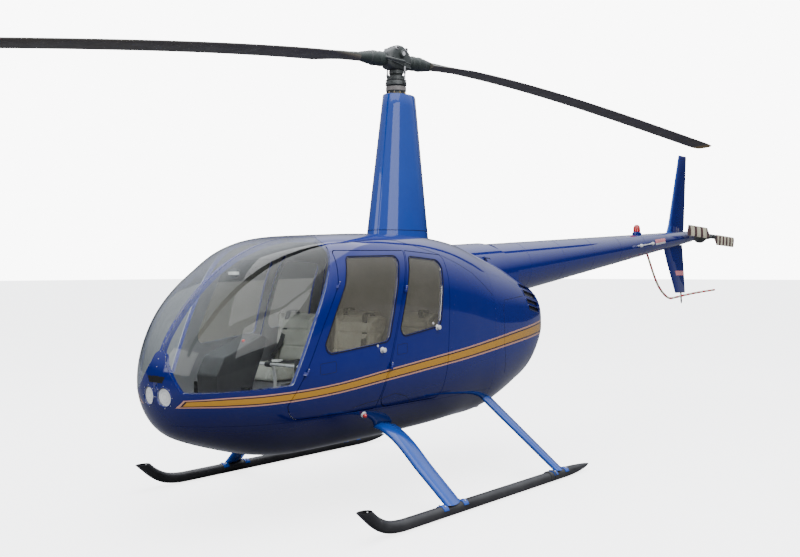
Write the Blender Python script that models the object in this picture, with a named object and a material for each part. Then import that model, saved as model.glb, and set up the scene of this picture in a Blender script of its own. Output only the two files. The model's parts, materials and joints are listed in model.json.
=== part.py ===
# Light four-seat helicopter with a two-blade teetering rotor, parked on its skids.
# Metres, +Z up, nose towards -Y, port side towards +X, ground at z = 0.
# Lengths along Y below are measured from a datum 40 mm behind the main mast, which airframe_datum places.
import math

import bmesh
import bpy
import numpy as np
from mathutils import Matrix, Vector

# Driving dimensions
DATUM_Y = -0.785         # the datum, in the part's frame, whose origin is under the middle of the box
MAST_Y = -0.040          # the rotor mast
GAP = 0.0003             # between pieces that touch
WALL = 0.035             # cabin wall
DOOR_WALL = 0.025        # door panel
COWL_WALL = 0.012        # engine cowling
DOOR_GAP = 0.005         # round a closed door
DOOR_AFT_GAP = 0.008     # at a door's aft edge, which swings past the frame
DOOR_SILL_GAP = 0.014    # under a door, whose leaning hinge line dips its lower edge as it opens
FIREWALL_Y = 0.42        # where the cabin shell ends and the cowling starts
BULKHEAD_Y = -0.105      # aft face of the cabin's rear bulkhead
SPLIT_Z = 0.655          # seam between belly and cabin frame
STRIP_HALF = 0.0125      # half width of the strip between the windshields

ROTOR_RADIUS = 5.029
ROTOR_CHORD = 0.258
ROTOR_TURN = math.radians(-4.2)   # how far the parked blades are turned from fore and aft
HUB_Z = 3.162
ROTOR_DROOP = 0.456
TEETER_SLOPE = 0.05
TAIL_Y = 5.893
TAIL_Z = 1.972
TAIL_X = 0.15
TAIL_RADIUS = 0.737
TAIL_TURN = math.radians(-2.0)

MAST_TUBE_R = 0.062      # fixed tube that the rotor shaft turns in
BEARING_R = 0.0485       # the shaft's bearing in the tube's bore
SKID_X = 1.054
SKID_RADIUS = 0.038

# Body sections: y, top z, bottom z, half width, waist z, upper power, lower power
BODY_SECTIONS = [
    (-2.252, 0.955, 0.779, 0.064, 0.875, 2.0, 1.9),
    (-2.235, 1.035, 0.707, 0.172, 0.878, 2.0, 1.9),
    (-2.190, 1.145, 0.619, 0.275, 0.885, 2.2, 1.9),
    (-2.110, 1.264, 0.555, 0.377, 0.890, 2.4, 2.1),
    (-2.000, 1.392, 0.508, 0.465, 0.898, 2.7, 2.2),
    (-1.850, 1.523, 0.458, 0.545, 0.915, 2.8, 2.4),
    (-1.660, 1.644, 0.405, 0.602, 0.941, 3.0, 2.5),
    (-1.450, 1.731, 0.374, 0.634, 0.970, 4.0, 2.5),
    (-1.200, 1.789, 0.373, 0.652, 1.000, 5.0, 2.6),
    (-0.900, 1.813, 0.376, 0.659, 1.000, 5.1, 2.6),
    (-0.600, 1.822, 0.380, 0.660, 1.000, 4.7, 2.6),
    (-0.300, 1.824, 0.386, 0.655, 0.999, 4.2, 2.6),
    (0.000, 1.810, 0.396, 0.640, 0.989, 3.7, 2.6),
    (0.250, 1.785, 0.407, 0.619, 0.969, 3.3, 2.5),
    (0.500, 1.733, 0.419, 0.596, 0.954, 3.0, 2.5),
    (0.800, 1.655, 0.466, 0.555, 0.955, 3.0, 2.2),
    (1.050, 1.572, 0.533, 0.511, 0.973, 3.1, 2.0),
    (1.250, 1.491, 0.612, 0.461, 1.005, 3.4, 2.0),
    (1.400, 1.416, 0.731, 0.410, 1.057, 3.7, 1.7),
    (1.500, 1.331, 0.859, 0.344, 1.096, 3.5, 1.6),
    (1.560, 1.246, 0.968, 0.232, 1.135, 3.1, 1.6),
]
NOSE_POLE = (-2.256, 0.868)
TAIL_POLE = (1.580, 1.105)
HALF_POINTS = 14         # points from roof to keel on one side

# Side views of the openings: y, z, corner radius
FRONT_DOOR = [(-1.318, 1.690, 0.03), (-0.671, 1.698, 0.01), (-0.748, 1.438, 0.0), (-0.902, 0.938, 0.0),
              (-0.990, 0.665, 0.02), (-1.690, 0.665, 0.09), (-1.735, 0.760, 0.03), (-1.617, 0.951, 0.0),
              (-1.485, 1.230, 0.0), (-1.353, 1.471, 0.0)]
REAR_DOOR = [(-0.663, 1.698, 0.01), (-0.222, 1.672, 0.05), (-0.215, 1.500, 0.0), (-0.255, 0.900, 0.0),
             (-0.290, 0.665, 0.09), (-0.982, 0.665, 0.07), (-0.894, 0.938, 0.0), (-0.740, 1.438, 0.0)]
FRONT_WINDOW = [(-1.240, 1.645, 0.03), (-0.762, 1.656, 0.04), (-0.910, 1.105, 0.05), (-1.498, 1.049, 0.05),
                (-1.385, 1.292, 0.0), (-1.290, 1.472, 0.0)]
REAR_WINDOW = [(-0.639, 1.653, 0.03), (-0.279, 1.627, 0.06), (-0.351, 1.181, 0.06), (-0.802, 1.121, 0.05)]
WINDSHIELD = [(-0.950, 1.900, 0.0), (-1.296, 1.758, 0.04), (-1.360, 1.625, 0.04), (-1.550, 1.230, 0.0),
              (-1.705, 0.880, 0.03), (-1.960, 0.865, 0.0), (-2.300, 0.848, 0.0), (-2.400, 1.900, 0.0)]
# Front view of the windshield's inner and lower edges: x, z, corner radius
WINDSHIELD_FRONT = [(STRIP_HALF, 2.000, 0.0), (STRIP_HALF, 1.090, 0.0), (0.200, 0.853, 0.02),
                    (0.400, 0.845, 0.0), (0.900, 0.845, 0.0), (0.900, 2.000, 0.0)]

# Hinge points in side view, lower and upper: y, z
FRONT_HINGE = ((-1.617, 0.951), (-1.353, 1.471))
REAR_HINGE = ((-0.894, 0.938), (-0.740, 1.438))
HINGE_OUT = 0.016        # how far the hinge pins stand out from the skin, which bulges between them
HINGE_RADIUS = 0.011
HINGE_CLEAR = 0.0165
KNUCKLE = 0.022          # length of one hinge knuckle

# Tail boom cone, also the boom fairing's: reference y, axis z, radius and their slopes
BOOM_REF_Y, BOOM_REF_Z, BOOM_REF_R = 2.433, 1.667, 0.191
BOOM_Z_SLOPE, BOOM_R_SLOPE = 0.0958, -0.0403
BOOM_FRONT, BOOM_END = 1.150, 5.560


def clear_scene():
    for old in list(bpy.data.objects):
        bpy.data.objects.remove(old, do_unlink=True)


def material(name, colour, roughness, metallic=0.0, transmission=0.0):
    made = bpy.data.materials.get(name)
    if made is None:
        made = bpy.data.materials.new(name)
        made.use_nodes = True
        shader = made.node_tree.nodes["Principled BSDF"]
        shader.inputs["Base Color"].default_value = (*colour, 1.0)
        shader.inputs["Roughness"].default_value = roughness
        shader.inputs["Metallic"].default_value = metallic
        shader.inputs["Transmission Weight"].default_value = transmission
    return made


BLUE = ("deep_blue_paint", (0.006, 0.022, 0.16), 0.18)
STRUT_BLUE = ("bright_blue_paint", (0.01, 0.09, 0.42), 0.25)
BLACK = ("black_satin", (0.012, 0.013, 0.016), 0.45)
GREY = ("cabin_grey", (0.22, 0.22, 0.21), 0.7)
LEATHER = ("grey_leather", (0.33, 0.32, 0.28), 0.55)
STEEL = ("dark_steel", (0.12, 0.13, 0.13), 0.4, 0.8)
ALLOY = ("bare_alloy", (0.6, 0.6, 0.6), 0.35, 0.9)
BLADE = ("blade_paint", (0.045, 0.048, 0.04), 0.5)
TAIL_BLADE = ("tail_blade_paint", (0.6, 0.58, 0.5), 0.45)
GLASS = ("clear_acrylic", (0.75, 0.82, 0.76), 0.03, 0.0, 0.9)
RED = ("red_lens", (0.6, 0.01, 0.015), 0.15)
WHITE = ("red_white_tube", (0.7, 0.62, 0.58), 0.45)


def mesh_object(name, points, faces, finish=BLUE, parent=None):
    mesh = bpy.data.meshes.new(name)
    mesh.from_pydata([tuple(p) for p in points], [], faces)
    mesh.update()
    piece = bpy.data.objects.new(name, mesh)
    bpy.context.scene.collection.objects.link(piece)
    mesh.materials.append(material(*finish))
    if parent is not None:
        piece.parent = parent
    return piece


def empty(name, location, rotation=(0.0, 0.0, 0.0), parent=None):
    made = bpy.data.objects.new(name, None)
    bpy.context.scene.collection.objects.link(made)
    made.location = location
    made.rotation_euler = rotation
    made.parent = parent
    return made


def combine(piece, tools, operation):
    """Apply Booleans to a piece and remove the tools."""
    for tool in tools:
        change = piece.modifiers.new(operation, "BOOLEAN")
        change.operation = operation
        change.solver = "EXACT"
        change.object = tool
    bpy.context.view_layer.update()
    graph = bpy.context.evaluated_depsgraph_get()
    result = bpy.data.meshes.new_from_object(piece.evaluated_get(graph))
    piece.modifiers.clear()
    finish = piece.data.materials[0]
    piece.data = result
    result.materials.clear()
    result.materials.append(finish)
    for tool in tools:
        bpy.data.objects.remove(tool, do_unlink=True)
    return piece


def cut(piece, *tools):
    return combine(piece, tools, "DIFFERENCE")


def keep(piece, *tools):
    return combine(piece, tools, "INTERSECT")


def join(piece, *tools):
    return combine(piece, tools, "UNION")


def mirrored(piece, name):
    """A copy of a port piece for the starboard side."""
    twin = mesh_object(name, [(-v.co.x, v.co.y, v.co.z) for v in piece.data.vertices],
                       [tuple(reversed(p.vertices)) for p in piece.data.polygons])
    twin.data.materials.clear()
    twin.data.materials.append(piece.data.materials[0])
    twin.parent = piece.parent
    return twin


def smooth(piece, degrees=35.0):
    piece.data.shade_smooth()
    piece.data.set_sharp_from_angle(angle=math.radians(degrees))
    return piece


def loft(name, rings, finish=BLUE, parent=None, start_pole=None, end_pole=None):
    """Skin rings of equal length, closed at both ends."""
    count = len(rings[0])
    points = [p for ring in rings for p in ring]
    faces = []
    for r in range(len(rings) - 1):
        for i in range(count):
            j = (i + 1) % count
            faces.append((r * count + i, r * count + j, (r + 1) * count + j, (r + 1) * count + i))
    last = (len(rings) - 1) * count
    if start_pole is None:
        faces.append(tuple(reversed(range(count))))
    else:
        points.append(start_pole)
        faces += [(len(points) - 1, (i + 1) % count, i) for i in range(count)]
    if end_pole is None:
        faces.append(tuple(last + i for i in range(count)))
    else:
        points.append(end_pole)
        faces += [(len(points) - 1, last + i, last + (i + 1) % count) for i in range(count)]
    piece = mesh_object(name, points, faces, finish, parent)
    work = bmesh.new()
    work.from_mesh(piece.data)
    bmesh.ops.recalc_face_normals(work, faces=work.faces)
    work.to_mesh(piece.data)
    work.free()
    return piece


def rounded(corners, steps=3):
    """Outline points of a polygon whose corners carry a radius."""
    outline = []
    count = len(corners)
    for i, (a, b, radius) in enumerate(corners):
        here = Vector((a, b))
        if radius <= 0.0:
            outline.append(here)
            continue
        before = (Vector(corners[i - 1][:2]) - here).normalized()
        after = (Vector(corners[(i + 1) % count][:2]) - here).normalized()
        half = before.angle(after) / 2.0
        reach = radius / math.tan(half)
        centre = here + (before + after).normalized() * (radius / math.sin(half))
        start = here + before * reach - centre
        end = here + after * reach - centre
        sweep = start.angle_signed(end)
        for k in range(steps + 1):
            turn = -sweep * k / steps
            outline.append(centre + Matrix.Rotation(turn, 2) @ start)
    return outline


def inset(corners, distance):
    """Move each side of a cornered outline inwards; distance may be a function of the side's inward normal."""
    spots = [Vector(c[:2]) for c in corners]
    following = spots[1:] + spots[:1]
    area = sum(a.x * b.y - b.x * a.y for a, b in zip(spots, following))
    turn = 1.0 if area > 0.0 else -1.0
    lines = []
    for a, b in zip(spots, following):
        along = (b - a).normalized()
        inward = Vector((-along.y, along.x)) * turn
        step = distance(inward) if callable(distance) else distance
        lines.append((a + inward * step, along, step))
    moved = []
    for (p, u, before), (q, v, after), corner in zip(lines[-1:] + lines[:-1], lines, corners):
        cross = u.x * v.y - u.y * v.x
        spot = q
        if abs(cross) > 1e-6:
            w = q - p
            spot = p + u * ((w.x * v.y - w.y * v.x) / cross)
        moved.append((spot.x, spot.y, max(corner[2] - min(before, after), 0.0)))
    return moved


def prism(outline, low, high, axis="X", name="cutter"):
    """Extrude a flat outline along X (outline is y, z), Y (x, z) or Z (x, y)."""
    place = {"X": lambda p, t: (t, p[0], p[1]),
             "Y": lambda p, t: (p[0], t, p[1]),
             "Z": lambda p, t: (p[0], p[1], t)}[axis]
    return loft(name, [[place(p, low) for p in outline], [place(p, high) for p in outline]])


def block(low, high, name="cutter", finish=BLUE, parent=None):
    made = prism([(low[0], low[1]), (high[0], low[1]), (high[0], high[1]), (low[0], high[1])],
                 low[2], high[2], "Z", name)
    made.data.materials.clear()
    made.data.materials.append(material(*finish))
    made.parent = parent
    return made


def tube_rings(path, sides, up=(0.0, 0.0, 1.0), phase=0.0):
    """Circles square to a path of (point, radius)."""
    rings = []
    for i, (point, radius) in enumerate(path):
        before = Vector(path[max(i - 1, 0)][0])
        after = Vector(path[min(i + 1, len(path) - 1)][0])
        along = (after - before).normalized()
        side = along.cross(Vector(up))
        if side.length < 1e-4:
            side = along.cross(Vector((1.0, 0.0, 0.0)))
        side.normalize()
        across = side.cross(along)
        rings.append([Vector(point) + (side * math.cos(a) + across * math.sin(a)) * radius
                      for a in (2.0 * math.pi * (k + phase) / sides for k in range(sides))])
    return rings


def rod(name, start, end, radius, finish=STEEL, parent=None, sides=16, end_radius=None):
    end_radius = radius if end_radius is None else end_radius
    return loft(name, tube_rings([(start, radius), (end, end_radius)], sides), finish, parent)


def turned(name, centre, profile, finish=STEEL, parent=None, sides=24):
    """A body of revolution about Z; the profile is (radius, z) from bottom to top."""
    rings = [[(centre[0] + r * math.cos(a), centre[1] + r * math.sin(a), z)
              for a in (2.0 * math.pi * k / sides for k in range(sides))] for r, z in profile]
    return loft(name, rings, finish, parent)


def ring_of(section):
    """One body section as evenly spaced points, roof to keel down the port side and back up."""
    y, top, bottom, width, waist, upper, lower = section
    fine = []
    for k in range(401):
        angle = math.pi / 2.0 - math.pi * k / 400.0
        c, s = abs(math.cos(angle)), abs(math.sin(angle))
        if angle >= 0.0:
            fine.append((width * c ** (2.0 / upper), waist + (top - waist) * s ** (2.0 / upper)))
        else:
            fine.append((width * c ** (2.0 / lower), waist - (waist - bottom) * s ** (2.0 / lower)))
    fine = np.array(fine)
    run = np.concatenate([[0.0], np.cumsum(np.hypot(*np.diff(fine, axis=0).T))])
    even = np.linspace(0.0, run[-1], HALF_POINTS + 1)
    xs = np.interp(even, run, fine[:, 0])
    zs = np.interp(even, run, fine[:, 1])
    xs[0] = xs[-1] = 0.0
    port = [(xs[k], y, zs[k]) for k in range(HALF_POINTS + 1)]
    starboard = [(-xs[k], y, zs[k]) for k in range(HALF_POINTS - 1, 0, -1)]
    return port + starboard


def body_mesh(depth, name="body"):
    """The closed body, moved inwards by depth along its own normals."""
    piece = loft(name, [ring_of(s) for s in BODY_SECTIONS], BLUE, None,
                 (0.0, *NOSE_POLE), (0.0, *TAIL_POLE))
    work = bmesh.new()
    work.from_mesh(piece.data)
    work.normal_update()
    moved = [v.co - v.normal * depth for v in work.verts]
    for v, co in zip(work.verts, moved):
        v.co = co
    bmesh.ops.triangulate(work, faces=work.faces, quad_method="ALTERNATE")
    work.to_mesh(piece.data)
    work.free()
    return piece


def skin(outer, inner, name):
    """The body's wall between two depths."""
    piece = body_mesh(outer, name)
    return cut(piece, body_mesh(inner))


def skin_x(y, z):
    """Half width of the outer skin at a point in side view."""
    rows = [s[0] for s in BODY_SECTIONS]
    i = max(k for k in range(len(rows) - 1) if rows[k] <= y)
    t = (y - rows[i]) / (rows[i + 1] - rows[i])
    edge = []
    for a, b in zip(ring_of(BODY_SECTIONS[i]), ring_of(BODY_SECTIONS[i + 1])):
        edge.append((a[0] * (1 - t) + b[0] * t, a[2] * (1 - t) + b[2] * t))
    side = [p for p in edge[:HALF_POINTS + 1]]
    return float(np.interp(-z, [-p[1] for p in side], [p[0] for p in side]))


def boom_z(y):
    return BOOM_REF_Z + BOOM_Z_SLOPE * (y - BOOM_REF_Y)


def boom_r(y):
    return BOOM_REF_R + BOOM_R_SLOPE * (y - BOOM_REF_Y)


def boom_cone(low, high, extra=0.0, name="cutter", finish=BLUE, parent=None, sides=24):
    """The tail boom's cone between two stations, grown by extra."""
    rings = [[(math.cos(a) * (boom_r(y) + extra), y, boom_z(y) + math.sin(a) * (boom_r(y) + extra))
              for a in (2.0 * math.pi * k / sides for k in range(sides))] for y in (low, high)]
    return loft(name, rings, finish, parent)


def foil_ring(chord, thick, lead, centre, along, up, points=6):
    """A symmetric aerofoil outline round a centre line point at a quarter of its chord."""
    outline = []
    for k in range(points + 1):
        x = 0.5 * (1.0 - math.cos(math.pi * k / points))
        shape = 0.2969 * math.sqrt(x) - 0.126 * x - 0.3516 * x ** 2 + 0.2843 * x ** 3 - 0.1015 * x ** 4
        outline.append((x, thick / 0.2 * shape))
    outline[0] = (0.0, 0.0)
    top = [(x, max(t, 0.0012)) for x, t in outline[1:]]
    loop = [outline[0]] + top + [(x, -t) for x, t in reversed(top)]
    return [Vector(centre) + Vector(lead) * ((0.25 - x) * chord) + Vector(up) * t for x, t in loop]


def hinge_line(points):
    """Lower and upper points of a door's hinge axis, just outside the skin."""
    return [Vector((skin_x(y, z) + HINGE_OUT, y, z)) for y, z in points]


# A knuckle with its arm across the hinge axis: the turn where the arm leaves it, and the arm's foot (towards
# its own leaf, outwards). The rear doors hang on the narrow post between the doors.
ARM_TURN = 280
ARM_FOOT = ((0.006, -0.028), (0.018, -0.028))
POST_ARM_FOOT = ((0.001, -0.028), (0.007, -0.028))


def knuckles(line, side, foot=ARM_FOOT):
    """Hinge knuckles with arms, above (side 1, the door's) or below (side -1, the frame's) each hinge point."""
    along = (line[1] - line[0]).normalized()
    out = (Vector((1.0, 0.0, 0.0)) - along * along.x).normalized()
    own = along.cross(out)
    if own.y * side < 0.0:
        own = -own
    turns = [math.radians(turn) for turn in (*range(0, ARM_TURN, 30), ARM_TURN)]
    outline = [(HINGE_RADIUS * math.cos(turn), HINGE_RADIUS * math.sin(turn)) for turn in turns] + list(foot)
    return [loft("knuckle", [[point + along * (side * reach) + own * a + out * b for a, b in outline]
                             for reach in (GAP / 2, KNUCKLE)]) for point in line]


def knuckle_room(line, side):
    """Clearance round the other leaf's knuckles."""
    up = (line[1] - line[0]).normalized() * side
    return [rod("room", point, point + up * (KNUCKLE + 0.005), HINGE_CLEAR, sides=12)
            for point in line]


def door_gap(inward):
    """Wider at the edge that swings past the frame, and at the sill."""
    if inward.y > 0.8:
        return DOOR_SILL_GAP
    return DOOR_AFT_GAP if inward.x < -0.5 else DOOR_GAP


def build_cabin(airframe):
    openings = [prism(rounded(FRONT_DOOR), 0.2, 0.9), prism(rounded(REAR_DOOR), 0.2, 0.9)]
    openings += [mirrored(o, "cutter") for o in openings]
    shields = []
    for side in (1, -1):
        region = prism(rounded(WINDSHIELD), -0.9, 0.9)
        front = [Vector((p.x * side, p.y)) for p in rounded(WINDSHIELD_FRONT)]
        shields.append(keep(region, prism(front, -2.4, 0.5, "Y")))
    wall = skin(0.0, WALL, "cabin_frame")
    frame = keep(wall, block((-1.0, -3.0, SPLIT_Z + GAP), (1.0, FIREWALL_Y, 2.2)))
    mast_hole = turned("hole", (0.0, MAST_Y), [(MAST_TUBE_R + GAP, 1.65), (MAST_TUBE_R + GAP, 2.0)])
    frame = cut(frame, *openings, *shields, mast_hole)
    for hinge, foot in ((FRONT_HINGE, ARM_FOOT), (REAR_HINGE, POST_ARM_FOOT)):
        line = hinge_line(hinge)
        for mirror in (False, True):
            own = knuckles(line, -1, foot)
            room = knuckle_room(line, 1)
            if mirror:
                twins = [mirrored(o, "knuckle") for o in own], [mirrored(o, "room") for o in room]
                for old in own + room:
                    bpy.data.objects.remove(old, do_unlink=True)
                own, room = twins
            frame = join(frame, *own)
            frame = cut(frame, *room)
    belly = skin(0.0, WALL, "belly_shell")
    belly = keep(belly, block((-1.0, -3.0, 0.0), (1.0, FIREWALL_Y, SPLIT_Z)))
    belly.parent = airframe
    return frame


def build_windshields(airframe):
    """Acrylic halves lying in the frame's openings."""
    glass = skin(0.001, 0.006, "windshield_port")
    side = rounded(inset(WINDSHIELD, GAP))
    front = rounded(inset(WINDSHIELD_FRONT, GAP))
    port = keep(glass, prism(side, -0.9, 0.9), prism(front, -2.4, 0.5, "Y"))
    port.data.materials[0] = material(*GLASS)
    port.parent = airframe
    return port, mirrored(port, "windshield_starboard")


def build_door(which, outline, window, hinge, parents):
    """A hinged door and its window, on both sides; the parents stand on the hinge axes."""
    line = hinge_line(hinge)
    panel = skin(0.0, DOOR_WALL, "door_%s_port" % which)
    panel = keep(panel, prism(rounded(inset(outline, door_gap)), 0.2, 0.9))
    panel = cut(panel, prism(rounded(window), 0.2, 0.9))
    panel = join(panel, *knuckles(line, 1))
    panel = cut(panel, *knuckle_room(line, -1))
    pane = skin(0.004, 0.008, "window_%s_port" % which)
    pane = keep(pane, prism(rounded(inset(window, GAP)), 0.2, 0.9))
    pane.data.materials[0] = material(*GLASS)
    twins = mirrored(panel, "door_%s_starboard" % which), mirrored(pane, "window_%s_starboard" % which)
    hang(panel, parents[0])
    hang(pane, parents[0])
    hang(twins[0], parents[1])
    hang(twins[1], parents[1])


def hang(piece, parent):
    """Parent a piece modelled from the datum to a joint's empty."""
    bpy.context.view_layer.update()
    shift = parent.matrix_world.inverted() @ Matrix.Translation((0.0, DATUM_Y, 0.0))
    piece.data.transform(shift)
    piece.parent = parent


def hull_solid():
    """The body grown by a gap, to seat what stands on it."""
    return body_mesh(-GAP)


def build_interior(airframe):
    inside = WALL + GAP
    floor = body_mesh(inside, "cabin_floor")
    floor = keep(floor, block((-1.0, -2.0, FLOOR_Z - 0.025), (1.0, BULKHEAD_Y - 0.02 - GAP, FLOOR_Z)))
    finish(floor, GREY, airframe)
    bulkhead = body_mesh(inside, "rear_bulkhead")
    bulkhead = keep(bulkhead, block((-1.0, BULKHEAD_Y - 0.02, 0.2), (1.0, BULKHEAD_Y, 2.0)))
    finish(bulkhead, GREY, airframe)
    for name, front, back, top in SEAT_BASES:
        base = body_mesh(inside + 0.03, name)
        base = keep(base, block((-0.60, front, FLOOR_Z + GAP), (0.60, back, top)))
        if name == "front_seat_base":
            base = cut(base, block((-0.05, front - 0.1, FLOOR_Z + 0.12), (0.05, back + 0.1, top + 0.1)))
        finish(base, GREY, airframe)
    for side, sign in (("port", 1), ("starboard", -1)):
        for name, front, back, top, half, lean in SEATS:
            seat(name + "_" + side, sign, front, back, top, half, lean, airframe)
    outline = [(-1.86, FLOOR_Z + GAP), (-1.66, FLOOR_Z + GAP), (-1.56, 0.88), (-1.45, 1.12), (-1.50, 1.155),
               (-1.82, 1.030), (-1.88, 0.92)]
    console = prism(outline, -0.10, 0.10, "X", "instrument_console")
    console = keep(console, body_mesh(WALL + 0.002))
    finish(console, BLACK, airframe)
    stick = rod("cyclic_stick", (0.0, -1.30, FLOOR_Z + GAP), (0.0, -1.30, 0.93), 0.012, STEEL, None, 10)
    stick = join(stick, rod("bar", (-0.30, -1.36, 0.945), (0.30, -1.36, 0.945), 0.011, STEEL, None, 10),
                 rod("neck", (0.0, -1.30, 0.91), (0.0, -1.365, 0.947), 0.0115, STEEL, None, 10),
                 rod("grip", (0.262, -1.36, 0.86), (0.262, -1.36, 0.985), 0.016, BLACK, None, 10),
                 rod("grip", (-0.262, -1.36, 0.86), (-0.262, -1.36, 0.985), 0.016, BLACK, None, 10))
    finish(stick, BLACK, airframe)


def finish(piece, look, parent):
    piece.data.materials.clear()
    piece.data.materials.append(material(*look))
    piece.parent = parent
    return piece


FLOOR_Z = 0.600
# Seat boxes: name, front y, back y, top z
SEAT_BASES = [("front_seat_base", -1.20, -0.84, 0.80), ("rear_seat_base", -0.52, BULKHEAD_Y - 0.02 - GAP, 0.80)]
# Seats: name, cushion front y, back's rear y at the cushion, cushion top z, half width, lean of the back
SEATS = [("front_seat", -1.26, -0.78, 0.90, 0.215, 0.06),
         ("rear_seat", -0.58, BULKHEAD_Y - 0.02 - GAP, 0.90, 0.225, 0.0)]
SEAT_X = 0.285
BACK_TOP = 1.27
BACK_THICK = 0.09


def seat(name, sign, front, back, top, half, lean, airframe):
    """One cushion with its backrest, as a closed L in side view."""
    low = 0.80 + GAP
    outline = [(front, low, 0.0), (back, low, 0.0), (back + lean, BACK_TOP - 0.02, 0.03),
               (back + lean - BACK_THICK, BACK_TOP, 0.03), (back - BACK_THICK - 0.02, top, 0.02),
               (front, top - 0.01, 0.035)]
    piece = prism(rounded(outline, 2), sign * SEAT_X - half, sign * SEAT_X + half, "X", name)
    piece = keep(piece, body_mesh(WALL + 0.012))
    finish(piece, LEATHER, airframe)


def build_engine_bay(airframe):
    cowl = skin(0.0, COWL_WALL, "engine_cowling")
    cowl = keep(cowl, block((-1.0, FIREWALL_Y + GAP, 0.2), (1.0, 2.0, 2.2)))
    slots = [block((x, LOUVRE_FRONT, z), (x + 0.8, LOUVRE_BACK, z + LOUVRE_HIGH))
             for z in LOUVRE_ZS for x in (-0.8 - LOUVRE_X, LOUVRE_X)]
    exhaust_room = block((-0.24, 0.62, 0.2), (0.24, 1.20, 0.75))
    cowl = cut(cowl, boom_cone(BOOM_FRONT - 0.3, 2.2, GAP), exhaust_room, *slots)
    cowl.parent = airframe
    gearbox = block((-0.16, BULKHEAD_Y + GAP, 1.30), (0.16, 0.16, 1.60), "main_gearbox")
    finish(gearbox, STEEL, airframe)
    engine = block((-0.34, 0.16, 0.64), (0.34, 0.84, 1.02), "engine_block")
    engine = join(engine, block((-0.30, BULKHEAD_Y + GAP, 0.68), (-0.24, 0.20, 0.74)),
                  block((0.24, BULKHEAD_Y + GAP, 0.68), (0.30, 0.20, 0.74)),
                  block((-0.30, BULKHEAD_Y + GAP, 0.92), (-0.24, 0.20, 0.98)),
                  block((0.24, BULKHEAD_Y + GAP, 0.92), (0.30, 0.20, 0.98)))
    finish(engine, STEEL, airframe)
    boom = boom_cone(BOOM_FRONT, BOOM_END, 0.0, "tail_boom")
    boom = cut(boom, boom_cone(BOOM_FRONT - 0.01, BOOM_END + 0.01, -0.006))
    boom.parent = airframe
    saddle = build_boom_fairing()
    saddle.parent = airframe


LOUVRE_X, LOUVRE_FRONT, LOUVRE_BACK, LOUVRE_HIGH = 0.17, 1.30, 1.48, 0.030
LOUVRE_ZS = (1.190, 1.245, 1.300)


# Boom fairing's aft edge in side view, from the top of the boom to the cowling: y, z
FAIRING_EDGE = [(1.030, 1.800), (1.140, 1.725), (1.250, 1.640), (1.300, 1.560), (1.310, 1.300)]


def build_boom_fairing():
    """The cone carried forward over the cowling, with sides that run down to it."""
    def section(y, extra):
        r = boom_r(y) + extra
        upper = [(math.cos(a) * r, y, boom_z(y) + math.sin(a) * r)
                 for a in (math.pi * k / 14 for k in range(15))]
        foot = boom_z(y) - 0.30
        return upper + [(-r * 0.98, y, foot), (r * 0.98, y, foot)]
    shell = loft("boom_fairing", [section(y, 0.012) for y in (0.46, 0.90, 1.40)])
    high, low = FAIRING_EDGE[0][1] + 0.1, FAIRING_EDGE[-1][1] - 0.2
    aft = [(1.60, high), (FAIRING_EDGE[0][0] - 0.16, high), *FAIRING_EDGE,
           (FAIRING_EDGE[-1][0], low), (1.60, low)]
    shell = cut(shell, loft("hollow", [section(y, -0.008) for y in (0.48, 0.90, 1.10)]),
                boom_cone(0.9, 1.9, GAP), hull_solid(), prism(aft, -0.4, 0.4, "X", "aft"))
    return keep_largest(shell)


def keep_largest(piece):
    """Drop the crumbs that a cut leaves apart from the piece."""
    work = bmesh.new()
    work.from_mesh(piece.data)
    left = set(work.verts)
    groups = []
    while left:
        front = [left.pop()]
        group = set(front)
        while front:
            v = front.pop()
            for e in v.link_edges:
                other = e.other_vert(v)
                if other in left:
                    left.discard(other)
                    group.add(other)
                    front.append(other)
        groups.append(group)
    groups.sort(key=len)
    for group in groups[:-1]:
        bmesh.ops.delete(work, geom=list(group), context="VERTS")
    work.to_mesh(piece.data)
    work.free()
    return piece


# Mast fairing: z, reach forward and aft of the datum, half width
MAST_SECTIONS = [(1.740, 0.325, 0.306, 0.203), (1.830, 0.312, 0.295, 0.195), (2.900, 0.153, 0.165, 0.105)]
MAST_PINCH = 0.35        # how far its sides draw in towards the trailing edge


def mast_ring(z, front, aft, half, wall, points=24):
    ring = []
    for k in range(points):
        a = 2.0 * math.pi * k / points
        s = math.sin(a)
        reach, pinch = (aft, 1.0 - MAST_PINCH * s * s) if s > 0.0 else (front, 1.0)
        ring.append(((half - wall) * math.cos(a) * pinch, (reach - wall) * s, z))
    return ring


def build_mast(airframe):
    outer = loft("mast_fairing", [mast_ring(*row, 0.0) for row in MAST_SECTIONS])
    first, last = MAST_SECTIONS[0], MAST_SECTIONS[-1]
    inner_rows = [(first[0] - 0.01, *first[1:])] + MAST_SECTIONS[1:-1] + [(last[0] + 0.01, *last[1:])]
    fairing = cut(outer, loft("hollow", [mast_ring(*row, 0.010) for row in inner_rows]), hull_solid())
    fairing = keep_largest(fairing)
    fairing.parent = airframe
    profile = [(MAST_TUBE_R, 1.60 + GAP), (MAST_TUBE_R, 2.926), (0.077, 2.926), (0.077, 2.963)]
    sleeve = turned("mast_tube", (0.0, MAST_Y), profile, STEEL)
    sleeve = cut(sleeve, turned("bore", (0.0, MAST_Y), [(0.049, 1.5), (0.049, 3.0)], sides=48))
    sleeve.parent = airframe


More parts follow.
